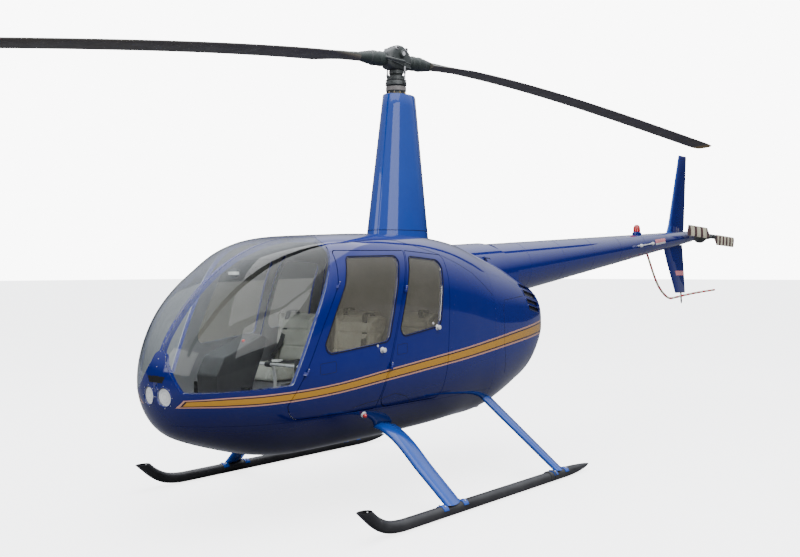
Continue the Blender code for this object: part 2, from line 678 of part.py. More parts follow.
def build_rotor(rotor):
    """Everything here is modelled with the blades along Y and the mast at the origin."""
    profile = [(0.042, 1.62), (0.042, 2.875), (BEARING_R, 2.88), (BEARING_R, 2.92), (0.042, 2.925),
               (0.042, 3.05), (0.055, 3.06), (0.055, 3.085)]
    turned("rotor_shaft", (0.0, 0.0), [(r, z - HUB_Z) for r, z in profile], STEEL, rotor)
    profile = [(0.081, 2.970), (0.081, 3.012), (0.070, 3.013), (0.070, 3.044)]
    plate = turned("swashplate", (0.0, 0.0), [(r, z - HUB_Z) for r, z in profile], STEEL, None, 24)
    for sign in (1, -1):
        low = LINK_Z - HUB_Z
        foot = rod("foot", (sign * 0.06, 0.0, low), (sign * (HORN_X + 0.004), 0.0, low), 0.010, STEEL, None, 10)
        link = rod("link", (sign * HORN_X, 0.0, low), (sign * HORN_X, 0.0, HORN_Z - HORN_R - GAP), 0.009, STEEL,
                   None, 10)
        plate = join(plate, foot, link)
    plate = cut(plate, turned("bore", (0.0, 0.0), [(0.0423, 2.93 - HUB_Z), (0.0423, 3.06 - HUB_Z)]))
    finish(plate, STEEL, rotor)
    rings = []
    for y, half, low, high in HUB_SECTIONS + [(-y, *rest) for y, *rest in HUB_SECTIONS[::-1]]:
        edge = 0.3 * half
        port = [(half - edge, y, low), (half, y, low + edge), (half, y, high - edge), (half - edge, y, high)]
        rings.append(port + [(-x, y, z) for x, y, z in reversed(port)])
    hub = loft("rotor_hub", rings)
    hub = join(hub, rod("pin", (-0.085, 0.0, 0.045), (0.085, 0.0, 0.045), 0.028, STEEL, None, 16))
    bore = [(0.055 + GAP, -0.10), (0.055 + GAP, 3.085 - HUB_Z + GAP)]
    hub = cut(hub, turned("bore", (0.0, 0.0), bore, STEEL, None, 24))
    finish(hub, STEEL, rotor)
    blade("rotor_blade_aft", 1, rotor)
    blade("rotor_blade_forward", -1, rotor)


HUB_REACH = 0.125
# Hub forging: y, half width, bottom and top of its forward half
HUB_SECTIONS = [(-HUB_REACH, 0.040, -0.048, 0.044), (-0.095, 0.056, -0.066, 0.070),
                (-0.045, 0.062, -0.074, 0.104), (-0.022, 0.062, -0.074, 0.115)]
HORN_X, HORN_Z, HORN_R = 0.092, -0.018, 0.011     # pitch horns beside the hub
LINK_Z = 2.985           # where the pitch links leave the swashplate
# Blade root: distance from the mast, radius
BLADE_ROOT = [(0.100, 0.042), (0.150, 0.044), (0.158, 0.057), (0.270, 0.057), (0.285, 0.050), (0.380, 0.038)]
BLADE_PITCH = (6.0, -6.0)      # degrees at the mast, and the twist out to the tip
# Blade stations: share of the radius, share of the chord, relative thickness, lead of the section
BLADE_STATIONS = [(0.070, 0.40, 0.62), (0.100, 0.62, 0.32), (0.135, 0.98, 0.12), (0.250, 1.0, 0.10),
                  (0.400, 1.0, 0.10), (0.550, 1.0, 0.10), (0.700, 1.0, 0.10), (0.850, 1.0, 0.10),
                  (0.955, 1.0, 0.10), (0.985, 0.92, 0.10), (1.000, 0.60, 0.10)]


def blade_height(share, sign):
    """Droop of a cantilever under its own weight, on the teetered hub."""
    bend = share * share * (6.0 - 4.0 * share + share * share) / 3.0
    return -ROTOR_DROOP * bend + TEETER_SLOPE * ROTOR_RADIUS * share * sign


def blade(name, sign, rotor):
    rings = []
    for share, chord, thick in BLADE_STATIONS:
        centre = (0.0, sign * share * ROTOR_RADIUS, blade_height(share, sign))
        width = ROTOR_CHORD * chord
        pitch = math.radians(BLADE_PITCH[0] + BLADE_PITCH[1] * share)
        lead = (-sign * math.cos(pitch), 0.0, math.sin(pitch))
        up = (sign * math.sin(pitch), 0.0, math.cos(pitch))
        rings.append(foil_ring(width, thick * width, lead, centre, (0, 1, 0), up))
    root = tube_rings([((0.0, sign * y, blade_height(y / ROTOR_RADIUS, sign)), r) for y, r in BLADE_ROOT], 16)
    made = join(loft(name, rings), loft("root", root))
    made = cut(made, block((-0.2, -HUB_REACH - GAP, -0.2), (0.2, HUB_REACH + GAP, 0.2)))
    horn = [(-sign * 0.040, sign * 0.170, 0.0), (-sign * HORN_X, sign * 0.115, HORN_Z),
            (-sign * HORN_X, -sign * 0.010, HORN_Z)]
    made = join(made, loft("horn", tube_rings([(point, HORN_R) for point in horn], 10)))
    finish(made, BLADE, rotor)


def build_tail(airframe, tail_rotor):
    profile = [(0.058, GAP), (0.058, 0.012), (0.045, 0.02), (0.045, 0.26), (0.066, 0.275), (0.072, 0.333),
               (0.060, 0.385), (0.030, 0.405)]
    gearbox = turned("tail_gearbox", (0.0, 0.0), profile)
    aftward = Matrix.Rotation(-math.pi / 2, 4, "X")
    gearbox.data.transform(Matrix.Translation((0.0, BOOM_END, TAIL_Z - 0.006)) @ aftward)
    gearbox = join(gearbox, rod("boss", (0.0, TAIL_Y, TAIL_Z), (0.105, TAIL_Y, TAIL_Z), 0.034, STEEL, None, 16))
    finish(gearbox, STEEL, airframe)
    seat_cone = (BOOM_END - 1.5, BOOM_END + 0.2, GAP)
    upper = foil_panel("upper_fin", [((4.86, 1.93), 0.50, 0.055), ((4.95, 2.10), 0.440, 0.05),
                                     ((5.234, 2.93), 0.225, 0.024)])
    lower = foil_panel("lower_fin", [((4.793, 1.86), 0.545, 0.055), ((4.90, 1.66), 0.475, 0.05),
                                     ((5.142, 1.285), 0.285, 0.028)])
    skid = rod("skid", (0.0, 5.30, 1.31), (0.0, 5.319, 1.156), 0.010, STEEL, None, 10)
    lower = join(lower, skid)
    guard_path = [((GUARD_X, y, z), GUARD_RADIUS) for y, z in GUARD]
    guard = loft("tail_guard", tube_rings(guard_path, 10, (1.0, 0.0, 0.0)))
    guard = cut(guard, boom_cone(*seat_cone))
    finish(guard, WHITE, airframe)
    lower = cut(lower, boom_cone(*seat_cone))
    upper = cut(upper, boom_cone(*seat_cone))
    finish(upper, BLUE, airframe)
    finish(lower, BLUE, airframe)
    rings = [foil_ring(0.40, 0.035, (0, -1, 0), (x, 4.99, 1.905), (1, 0, 0), (0, 0, 1)) for x in (0.0, -0.95)]
    stabiliser = loft("stabiliser_starboard", rings)
    stabiliser = cut(stabiliser, boom_cone(*seat_cone))
    finish(keep_largest(stabiliser), BLUE, airframe)
    profile = [(0.050, 1.90), (0.050, 1.972), (0.038, 1.985), (0.036, 2.035), (0.020, 2.06)]
    beacon = turned("beacon", (0.0, 4.11), profile, RED, None, 16)
    finish(cut(beacon, boom_cone(4.0, 4.3, GAP)), RED, airframe)
    hub = rod("tail_rotor_hub", (0.105 + GAP - TAIL_X, 0.0, 0.0), (0.045, 0.0, 0.0), 0.016, STEEL, None, 12)
    hub = join(hub, block((-0.016, -0.095, -0.026), (0.016, 0.095, 0.026)))
    finish(hub, STEEL, tail_rotor)
    for name, sign in (("tail_blade_aft", 1), ("tail_blade_forward", -1)):
        rings = []
        for share, chord in ((0.130, 0.50), (0.200, 1.0), (0.600, 1.0), (0.970, 1.0), (1.0, 0.85)):
            centre = (0.0, sign * share * TAIL_RADIUS, 0.0)
            rings.append(foil_ring(0.130 * chord, 0.016, (0, 0, float(sign)), centre, (0, 1, 0), (1, 0, 0)))
        finish(loft(name, rings), TAIL_BLADE, tail_rotor)


GUARD_X, GUARD_RADIUS = 0.0232, 0.0125
# Tail guard tube in side view: y, z
GUARD = [(4.300, 1.770), (4.421, 1.605), (4.500, 1.500), (4.581, 1.411), (4.660, 1.345), (4.744, 1.294),
         (4.910, 1.232), (5.100, 1.236), (5.280, 1.250), (5.580, 1.270), (5.890, 1.286), (6.320, 1.304)]


def foil_panel(name, rows):
    """An upright fin: leading edge (y, z), chord and thickness of each section."""
    rings = []
    for (y, z), chord, thick in rows:
        rings.append(foil_ring(chord, thick, (0, -1, 0), (0.0, y + chord / 4.0, z), (0, 0, 1), (1, 0, 0)))
    return loft(name, rings)


# Skid tube in side view: y, z, radius; the toe is cut level
SKID_PATH = [(-1.680, 0.262, 0.037), (-1.584, 0.172, 0.037), (-1.515, 0.115, 0.037), (-1.464, 0.084, 0.038),
             (-1.406, 0.060, 0.038), (-1.340, 0.046, 0.038), (-1.273, 0.0395, 0.038), (-1.174, 0.038, 0.038),
             (0.700, 0.038, 0.038), (0.800, 0.038, 0.034), (0.900, 0.039, 0.026), (0.980, 0.041, 0.017),
             (1.035, 0.044, 0.006)]
TOE_TOP = 0.185
# Struts from the tube to the belly: x, y, z, chord; then the thickness
STRUTS = [("front", [(SKID_X + 0.044, -0.754, 0.045, 0.152), (0.620, -0.790, 0.482, 0.172),
                     (0.560, -0.794, 0.512, 0.176), (0.400, -0.800, 0.530, 0.182)], 0.048),
          ("aft", [(SKID_X + 0.048, 0.571, 0.045, 0.098), (0.500, 0.480, 0.552, 0.118),
                   (0.400, 0.462, 0.640, 0.118)], 0.040)]
STRUT_LOW = 0.056


def build_gear(airframe):
    flat = math.cos(math.pi / 12.0)      # a side of the tube lies flat on the ground
    path = [((SKID_X, y, z), r / flat) for y, z, r in SKID_PATH]
    tube = loft("skid_port", tube_rings(path, 12, (1.0, 0.0, 0.0), 0.5), BLACK)
    tube = cut(tube, block((0.5, -2.0, TOE_TOP), (1.5, 0.0, 1.0)))
    finish(tube, BLACK, airframe)
    mirrored(tube, "skid_starboard")
    for name, stations, thick in STRUTS:
        rings = []
        for i, (x, y, z, chord) in enumerate(stations):
            first, last = stations[max(i - 1, 0)], stations[min(i + 1, len(stations) - 1)]
            along = (Vector(last[:3]) - Vector(first[:3])).normalized()
            out = along.cross(Vector((0.0, -1.0, 0.0))).normalized()
            fore = along.cross(out).normalized()
            if fore.y > 0.0:
                fore = -fore
            rings.append(foil_ring(chord, thick, fore, Vector((x, y, z)) + fore * (chord * 0.25), along, out))
        strut = loft("strut_%s_port" % name, rings)
        strut = cut(strut, hull_solid(), block((0.5, -2.0, -0.5), (2.0, 2.0, STRUT_LOW)),
                    rod("tube", (SKID_X, -1.2, 0.038), (SKID_X, 0.85, 0.038),
                        SKID_RADIUS / math.cos(math.pi / 24.0) + 2 * GAP + 0.0010, sides=24))
        strut = keep_largest(strut)
        finish(strut, STRUT_BLUE, airframe)
        mirrored(strut, "strut_%s_starboard" % name)


def build_lights(airframe, frame):
    """Landing lights in the nose: lamp bodies in sockets."""
    for side, sign in (("port", 1), ("starboard", -1)):
        centre = Vector((sign * 0.072, 0.0, 0.823))
        socket = rod("socket", (centre.x, -2.40, centre.z), (centre.x, -2.15, centre.z), 0.056, sides=20)
        combine(frame, [socket], "DIFFERENCE")
        lamp = rod("landing_light_" + side, (centre.x, -2.40, centre.z), (centre.x, -2.15, centre.z),
                   0.056 - GAP, ALLOY, None, 20)
        lamp = keep(lamp, skin(0.012, 0.055, "depth"))
        finish(lamp, ALLOY, airframe)
    frame.parent = airframe


def main():
    clear_scene()
    airframe = empty("airframe_datum", (0.0, DATUM_Y, 0.0))
    rotor = empty("main_rotor_axis", (0.0, MAST_Y, HUB_Z), (0.0, 0.0, ROTOR_TURN), airframe)
    tail_rotor = empty("tail_rotor_axis", (TAIL_X, TAIL_Y, TAIL_Z), (TAIL_TURN, 0.0, 0.0), airframe)
    frame = build_cabin(airframe)
    build_windshields(airframe)
    for which, outline, window, hinge in (("front", FRONT_DOOR, FRONT_WINDOW, FRONT_HINGE),
                                          ("rear", REAR_DOOR, REAR_WINDOW, REAR_HINGE)):
        low, high = hinge_line(hinge)
        axes = []
        for side, sign in (("port", 1), ("starboard", -1)):
            place = Vector((low.x * sign, low.y, low.z))
            along = Vector(((high.x - low.x) * sign, high.y - low.y, high.z - low.z))
            turn = along.to_track_quat("Z", "Y").to_euler()
            axes.append(empty("door_%s_%s_hinge" % (which, side), place, turn, airframe))
        build_door(which, outline, window, hinge, axes)
    build_interior(airframe)
    build_engine_bay(airframe)
    build_mast(airframe)
    build_rotor(rotor)
    build_tail(airframe, tail_rotor)
    build_gear(airframe)
    build_lights(airframe, frame)
    for piece in bpy.data.objects:
        if piece.type == "MESH":
            smooth(piece)


main()
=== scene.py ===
import json
import math

import bmesh
import bpy
import numpy as np
from mathutils import Matrix, Vector
from mathutils.geometry import delaunay_2d_cdt
from mathutils.noise import noise as noiseAt


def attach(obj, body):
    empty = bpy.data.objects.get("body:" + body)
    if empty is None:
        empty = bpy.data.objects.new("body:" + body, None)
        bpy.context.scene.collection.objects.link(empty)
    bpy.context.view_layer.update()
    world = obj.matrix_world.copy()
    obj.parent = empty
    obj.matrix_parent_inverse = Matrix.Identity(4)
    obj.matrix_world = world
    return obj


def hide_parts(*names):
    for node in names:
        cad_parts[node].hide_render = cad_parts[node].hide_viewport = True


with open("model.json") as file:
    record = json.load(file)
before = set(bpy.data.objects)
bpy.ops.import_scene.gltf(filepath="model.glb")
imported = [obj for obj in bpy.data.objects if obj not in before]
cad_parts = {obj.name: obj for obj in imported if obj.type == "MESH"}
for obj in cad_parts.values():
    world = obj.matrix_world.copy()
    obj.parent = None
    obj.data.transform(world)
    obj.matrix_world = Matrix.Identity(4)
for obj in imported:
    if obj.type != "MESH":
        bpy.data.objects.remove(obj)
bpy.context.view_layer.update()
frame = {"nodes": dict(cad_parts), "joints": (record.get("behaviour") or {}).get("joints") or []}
datumY = -0.785     # the datum in the part's frame

# Nodes and looks


def node(tree, kind, inputs=None, **settings):
    made = tree.nodes.new(kind)
    for key, value in settings.items():
        setattr(made, key, value)
    for key, value in (inputs or {}).items():
        if isinstance(value, bpy.types.NodeSocket):
            tree.links.new(value, made.inputs[key])
        else:
            made.inputs[key].default_value = value
    return made


def mathNode(tree, operation, a, b=0.5, c=0.0):
    made = node(tree, "ShaderNodeMath", {0: a, 1: b}, operation=operation)
    if operation in ("MULTIPLY_ADD", "SMOOTH_MIN", "COMPARE"):
        made.inputs[2].default_value = c
    return made.outputs[0]


def span(tree, value, low, high, toLow=0.0, toHigh=1.0):
    return node(tree, "ShaderNodeMapRange", {"Value": value, "From Min": low, "From Max": high,
                                             "To Min": toLow, "To Max": toHigh}).outputs["Result"]


def blendColour(tree, share, first, second, mode="MIX"):
    made = node(tree, "ShaderNodeMix", data_type="RGBA", blend_type=mode)
    for index, value in ((0, share), (6, first), (7, second)):
        if isinstance(value, bpy.types.NodeSocket):
            tree.links.new(value, made.inputs[index])
        else:
            made.inputs[index].default_value = value if index == 0 else (*value, 1.0)
    return made.outputs[2]


def newLook(name, colour, roughness=0.5, metallic=0.0, **sockets):
    made = bpy.data.materials.new(name)
    made.use_nodes = True
    shader = made.node_tree.nodes["Principled BSDF"]
    shader.inputs["Base Color"].default_value = (*colour, 1.0)
    shader.inputs["Roughness"].default_value = roughness
    shader.inputs["Metallic"].default_value = metallic
    for key, value in sockets.items():
        shader.inputs[key].default_value = value
    return made


def newGroup(name, inputs, outputs):
    made = bpy.data.node_groups.new(name, "ShaderNodeTree")
    kinds = {"Color": "NodeSocketColor", "Vector": "NodeSocketVector", "Value": "NodeSocketFloat"}
    for key, (kind, value) in inputs.items():
        socket = made.interface.new_socket(name=key, in_out="INPUT", socket_type=kinds[kind])
        if value is not None:
            socket.default_value = (*value, 1.0) if kind == "Color" else value
    for key, kind in outputs.items():
        made.interface.new_socket(name=key, in_out="OUTPUT", socket_type=kinds[kind])
    return made, node(made, "NodeGroupInput").outputs, node(made, "NodeGroupOutput").inputs


def wire(look, group, values, sockets):
    tree = look.node_tree
    shader = tree.nodes["Principled BSDF"]
    place = node(tree, "ShaderNodeTexCoord").outputs["Object"]
    made = node(tree, "ShaderNodeGroup", node_tree=group)
    tree.links.new(place, made.inputs["Vector"])
    for key, value in values.items():
        if isinstance(value, bpy.types.NodeSocket):
            tree.links.new(value, made.inputs[key])
        else:
            made.inputs[key].default_value = (*value, 1.0) if isinstance(value, tuple) else value
    for key in sockets:
        tree.links.new(made.outputs[key if key != "Base Color" else "Color"], shader.inputs[key])
    return made


def noise(tree, vector, scale, detail=3.0, roughness=0.5, output="Fac"):
    return node(tree, "ShaderNodeTexNoise", {"Vector": vector, "Scale": scale, "Detail": detail,
                                             "Roughness": roughness}).outputs[output]


def bump(tree, height, strength, distance):
    return node(tree, "ShaderNodeBump", {"Height": height, "Strength": strength,
                                         "Distance": distance}).outputs["Normal"]


# lacquer: painted shade that darkens it towards the bottom, slight colour drift, dust, fine waviness
paintGroup, given, result = newGroup("lacquer", {
    "Vector": ("Vector", None), "Color": ("Color", (0.0, 0.0, 0.2)), "Painted Shade Color": ("Color", (0.0, 0.0, 0.1)),
    "Dust": ("Value", 0.2), "Gloss": ("Value", 0.12)}, {"Color": "Color", "Roughness": "Value", "Normal": "Vector"})
height = node(paintGroup, "ShaderNodeSeparateXYZ", {0: given["Vector"]}).outputs["Z"]
# painted shade: below z 1.02 the colour fades into the darker shade colour, darkest at z 0.52
base = blendColour(paintGroup, span(paintGroup, height, 0.52, 1.02), given["Painted Shade Color"], given["Color"])
drift = noise(paintGroup, given["Vector"], 1.7, 2.0)
base = blendColour(paintGroup, span(paintGroup, drift, 0.3, 0.7, 0.0, 0.16), base, (0.02, 0.015, 0.12))
specks = span(paintGroup, noise(paintGroup, given["Vector"], 260.0, 2.0), 0.66, 0.74)
film = span(paintGroup, noise(paintGroup, given["Vector"], 9.0, 6.0, 0.65), 0.45, 0.75)
film = mathNode(paintGroup, "MULTIPLY", mathNode(paintGroup, "MULTIPLY_ADD", specks, 0.7, 0.3), film)
film = mathNode(paintGroup, "MULTIPLY", film, given["Dust"])
tree = paintGroup
tree.links.new(blendColour(tree, mathNode(tree, "MULTIPLY", film, 0.07), base, (0.30, 0.29, 0.30)), result["Color"])
tree.links.new(mathNode(tree, "ADD", given["Gloss"], mathNode(tree, "MULTIPLY", film, 0.25)), result["Roughness"])
tree.links.new(bump(tree, noise(tree, given["Vector"], 55.0, 1.0), 0.05, 0.002), result["Normal"])

# grain: leather pores, moulded plastic or cast metal
grainGroup, given, result = newGroup("grain", {
    "Vector": ("Vector", None), "Color": ("Color", (0.3, 0.3, 0.3)), "Dark Color": ("Color", (0.1, 0.1, 0.1)),
    "Cells": ("Value", 300.0), "Depth": ("Value", 0.3), "Sheen": ("Value", 0.5)},
    {"Color": "Color", "Roughness": "Value", "Normal": "Vector"})
tree = grainGroup
cells = node(tree, "ShaderNodeTexVoronoi", {"Vector": given["Vector"], "Scale": given["Cells"]}).outputs["Distance"]
soft = noise(tree, given["Vector"], 7.0, 5.0, 0.6)
fine = noise(tree, given["Vector"], 180.0, 3.0)
tree.links.new(blendColour(tree, span(tree, soft, 0.35, 0.75, 0.0, 0.8), given["Color"], given["Dark Color"]),
               result["Color"])
tree.links.new(mathNode(tree, "ADD", given["Sheen"], span(tree, fine, 0.3, 0.7, -0.08, 0.1)), result["Roughness"])
tree.links.new(bump(tree, mathNode(tree, "ADD", cells, mathNode(tree, "MULTIPLY", fine, 0.4)), given["Depth"],
                    0.0006), result["Normal"])

# worn: coating rubbed down to bare metal
wornGroup, given, result = newGroup("worn", {
    "Vector": ("Vector", None), "Color": ("Color", (0.02, 0.02, 0.02)), "Bare Color": ("Color", (0.3, 0.3, 0.3)),
    "Wear": ("Value", 0.5), "Size": ("Value", 14.0), "Gloss": ("Value", 0.45)},
    {"Color": "Color", "Roughness": "Value", "Metallic": "Value", "Normal": "Vector"})
tree = wornGroup
coarse = noise(tree, given["Vector"], given["Size"], 8.0, 0.7)
edge = mathNode(tree, "SUBTRACT", 0.86, mathNode(tree, "MULTIPLY", given["Wear"], 0.36))
mask = node(tree, "ShaderNodeMapRange", {"Value": coarse, "From Min": edge,
                                         "From Max": mathNode(tree, "ADD", edge, 0.05)}).outputs["Result"]
tone = span(tree, noise(tree, given["Vector"], 5.0, 4.0), 0.3, 0.7, 0.0, 0.35)
worn = blendColour(tree, tone, given["Color"], (0.10, 0.10, 0.10))
tree.links.new(blendColour(tree, mask, worn, given["Bare Color"]), result["Color"])
tree.links.new(mathNode(tree, "ADD", given["Gloss"], span(tree, coarse, 0.3, 0.7, -0.12, 0.15)), result["Roughness"])
tree.links.new(mathNode(tree, "MULTIPLY", mask, 0.8), result["Metallic"])
tree.links.new(bump(tree, mathNode(tree, "SUBTRACT", noise(tree, given["Vector"], 220.0, 2.0), mask), 0.15, 0.0005),
               result["Normal"])
paintSockets = ("Base Color", "Roughness", "Normal")
wornSockets = ("Base Color", "Roughness", "Metallic", "Normal")

# the two-tone stripe along the cabin: height of its middle and its width by station
stripe = {"middle": [(-2.26, 0.780), (-2.221, 0.789), (-2.161, 0.796), (-1.855, 0.807), (-1.417, 0.831),
                     (-0.929, 0.879), (-0.487, 0.920), (0.04, 0.965), (0.711, 1.028), (1.075, 1.057), (1.60, 1.100)],
          "width": [(-2.26, 0.043), (-2.161, 0.050), (-2.022, 0.060), (-1.417, 0.066), (-0.929, 0.075),
                    (0.04, 0.088), (0.711, 0.099), (1.60, 0.118)],
          "start": -2.226, "gold": (0.50, 0.245, 0.022), "edge": (0.56, 0.29, 0.20), "line": (0.03, 0.012, 0.02)}
stripeSpan = (-2.4, 1.8)


def curveNode(tree, value, points, top):
    made = node(tree, "ShaderNodeFloatCurve", {"Value": value})
    curve = made.mapping.curves[0]
    spots = [((y - stripeSpan[0]) / (stripeSpan[1] - stripeSpan[0]), v / top) for y, v in points]
    while len(curve.points) < len(spots):
        curve.points.new(0.5, 0.5)
    for point, spot in zip(curve.points, spots):
        point.location = spot
    made.mapping.update()
    return mathNode(tree, "MULTIPLY", made.outputs["Value"], top)


stripeGroup, given, result = newGroup("stripeBands", {"Vector": ("Vector", None), "Color": ("Color", (0, 0, 0.2))},
                                      {"Color": "Color"})
tree = stripeGroup
axes = node(tree, "ShaderNodeSeparateXYZ", {0: given["Vector"]}).outputs
station = span(tree, axes["Y"], stripeSpan[0] + datumY, stripeSpan[1] + datumY)
middle = curveNode(tree, station, stripe["middle"], 1.5)
half = mathNode(tree, "MULTIPLY", curveNode(tree, station, stripe["width"], 0.2), 0.5)
across = mathNode(tree, "DIVIDE", mathNode(tree, "SUBTRACT", axes["Z"], middle), half)   # -1 to 1 over the stripe
slant = mathNode(tree, "SUBTRACT", axes["Y"], mathNode(tree, "MULTIPLY", mathNode(tree, "ADD", across, 1.0), 0.006))
bands = ((1.0, 0.0, stripe["edge"]), (0.74, 0.006, stripe["line"]), (0.52, 0.012, stripe["gold"]))
painted = given["Color"]
for reach, inward, tint in bands:
    low = mathNode(tree, "GREATER_THAN", across, -reach)
    high = mathNode(tree, "LESS_THAN", across, reach)
    begun = mathNode(tree, "GREATER_THAN", slant, stripe["start"] + datumY + inward)
    mask = mathNode(tree, "MULTIPLY", mathNode(tree, "MULTIPLY", low, high), begun)
    painted = blendColour(tree, mask, painted, tint)
tree.links.new(painted, result["Color"])

# the belly colour is painted shade that the striped body darkens into lower down
blue = {"upper": (0.002, 0.011, 0.17), "belly": (0.001, 0.002, 0.040), "bright": (0.006, 0.075, 0.42),
        "mast": (0.008, 0.055, 0.34)}


def paintLook(name, colour, low, dust=0.5, gloss=0.10, striped=False):
    made = newLook(name, colour, gloss, **{"Coat Weight": 1.0, "Coat Roughness": 0.03, "Coat IOR": 1.45,
                                           "Specular IOR Level": 0.15})
    group = wire(made, paintGroup, {"Color": colour, "Painted Shade Color": low, "Dust": dust, "Gloss": gloss}, paintSockets)
    if striped:
        tree = made.node_tree
        band = node(tree, "ShaderNodeGroup", node_tree=stripeGroup)
        tree.links.new(node(tree, "ShaderNodeTexCoord").outputs["Object"], band.inputs["Vector"])
        tree.links.new(group.outputs["Color"], band.inputs["Color"])
        tree.links.new(band.outputs["Color"], tree.nodes["Principled BSDF"].inputs["Base Color"])
    return made


def grainLook(name, colour, dark, cells, depth, sheen, **sockets):
    made = newLook(name, colour, sheen, **sockets)
    wire(made, grainGroup, {"Color": colour, "Dark Color": dark, "Cells": cells, "Depth": depth, "Sheen": sheen},
         paintSockets)
    return made


def wornLook(name, colour, bare, wear, size=14.0, gloss=0.45, **sockets):
    made = newLook(name, colour, gloss, **sockets)
    wire(made, wornGroup, {"Color": colour, "Bare Color": bare, "Wear": wear, "Size": size, "Gloss": gloss},
         wornSockets)
    return made


def clearLook(name, tint, shade, through=1.0):
    made = newLook(name, tint, 0.01, **{"Transmission Weight": through, "IOR": 1.30, "Specular IOR Level": 0.8})
    tree = made.node_tree
    ray = node(tree, "ShaderNodeLightPath").outputs["Is Shadow Ray"]
    tree.links.new(mathNode(tree, "SUBTRACT", 1.0, mathNode(tree, "MULTIPLY", ray, 1.0 - shade)),
                   tree.nodes["Principled BSDF"].inputs["Alpha"])
    smear = noise(tree, node(tree, "ShaderNodeTexCoord").outputs["Object"], 6.0, 5.0, 0.7)
    tree.links.new(span(tree, smear, 0.4, 0.8, 0.0, 0.008), tree.nodes["Principled BSDF"].inputs["Roughness"])
    return made


looks = {
    "body": paintLook("stripedBluePaint", blue["upper"], blue["belly"], striped=True),
    "plain": paintLook("deepBluePaint", blue["upper"], blue["upper"]),
    "strut": paintLook("brightBluePaint", blue["bright"], blue["bright"], 0.3, 0.2),
    "leather": grainLook("greyLeather", (0.30, 0.30, 0.27), (0.20, 0.20, 0.18), 420.0, 0.35, 0.42),
    "trim": grainLook("greyHeadliner", (0.20, 0.20, 0.21), (0.13, 0.13, 0.14), 900.0, 0.5, 0.8),
    "carpet": grainLook("charcoalCarpet", (0.05, 0.05, 0.055), (0.02, 0.02, 0.022), 700.0, 1.0, 0.95),
    "black": grainLook("crackleBlack", (0.015, 0.015, 0.017), (0.03, 0.03, 0.032), 800.0, 0.5, 0.5),
    "rubber": grainLook("sealRubber", (0.008, 0.008, 0.008), (0.02, 0.02, 0.02), 500.0, 0.3, 0.8,
                        **{"Specular IOR Level": 0.15}),
    "webbing": grainLook("blackWebbing", (0.012, 0.012, 0.013), (0.03, 0.03, 0.03), 1400.0, 1.0, 0.75),
    "skid": wornLook("wornSkidBlack", (0.012, 0.012, 0.014), (0.28, 0.27, 0.26), 0.45, 20.0, 0.42),
    "metal": wornLook("darkHubMetal", (0.045, 0.052, 0.050), (0.25, 0.25, 0.24), 0.35, 30.0, 0.38, Metallic=0.6),
    "alloy": wornLook("bareAlloy", (0.55, 0.55, 0.56), (0.75, 0.75, 0.75), 0.3, 40.0, 0.28),
    "chrome": wornLook("brightChrome", (0.8, 0.8, 0.8), (0.6, 0.6, 0.6), 0.3, 60.0, 0.12),
    # the lamp bowl's faint emission is a painted glow that brightens it in place of reflected light
    "mirror": wornLook("lampMirrorPaintedGlow", (0.92, 0.92, 0.90), (0.8, 0.8, 0.8), 0.2, 60.0, 0.10,
                       **{"Metallic": 1.0, "Emission Color": (1.0, 0.98, 0.92, 1.0), "Emission Strength": 0.06}),
    "exhaust": wornLook("heatedSteel", (0.16, 0.11, 0.075), (0.3, 0.28, 0.26), 0.5, 12.0, 0.4),
    "windshield": clearLook("clearAcrylic", (0.93, 0.97, 0.95), 0.12),
    # the side windows' beige tint and slight milky film are partly the glass's own tint and partly a painted reflection
    # that lightens the panes
    "window": clearLook("smokedAcrylicPaintedReflection", (0.60, 0.57, 0.48), 0.35, 0.93),
    "lens": clearLook("lampGlass", (0.98, 0.99, 1.0), 0.05),
    "redLens": newLook("redLens", (0.65, 0.01, 0.012), 0.12, **{"Coat Weight": 1.0, "Transmission Weight": 0.15}),
    "greenLens": newLook("greenLens", (0.01, 0.45, 0.10), 0.12, **{"Coat Weight": 1.0, "Transmission Weight": 0.15}),
    "mast": paintLook("mastBluePaint", blue["mast"], blue["mast"]),
    "cast": wornLook("castGrey", (0.24, 0.215, 0.205), (0.36, 0.34, 0.33), 0.4, 40.0, 0.42, Metallic=0.3),
    "boot": grainLook("greenGreyBoot", (0.034, 0.046, 0.041), (0.018, 0.023, 0.021), 260.0, 0.3, 0.5),
    "brass": wornLook("cadmiumBolts", (0.45, 0.33, 0.10), (0.6, 0.5, 0.3), 0.4, 60.0, 0.3),
    "bladeTop": wornLook("bladeTopPaint", (0.030, 0.034, 0.024), (0.10, 0.10, 0.085), 0.25, 9.0, 0.5),
    "bladeUnder": wornLook("bladeUndersidePaint", (0.115, 0.100, 0.080), (0.17, 0.155, 0.13), 0.4, 9.0, 0.55),
    "bladeTip": wornLook("ochreTipPaint", (0.42, 0.26, 0.045), (0.5, 0.4, 0.2), 0.3, 20.0, 0.5),
    "creamPaint": wornLook("creamPaint", (0.92, 0.86, 0.60), (0.7, 0.66, 0.5), 0.3, 25.0, 0.4),
    "bandBrown": wornLook("darkBandPaint", (0.10, 0.035, 0.035), (0.22, 0.16, 0.12), 0.3, 25.0, 0.4),
    "bandRed": wornLook("redBandPaint", (0.62, 0.012, 0.022), (0.5, 0.2, 0.18), 0.3, 25.0, 0.4),
    "bandPink": wornLook("faintPinkPaint", (0.86, 0.30, 0.33), (0.8, 0.6, 0.6), 0.2, 25.0, 0.4),
    "white": grainLook("whiteEnamel", (0.75, 0.75, 0.73), (0.62, 0.62, 0.58), 200.0, 0.1, 0.3),
}
print("looks made:", len(looks))

# Meshes


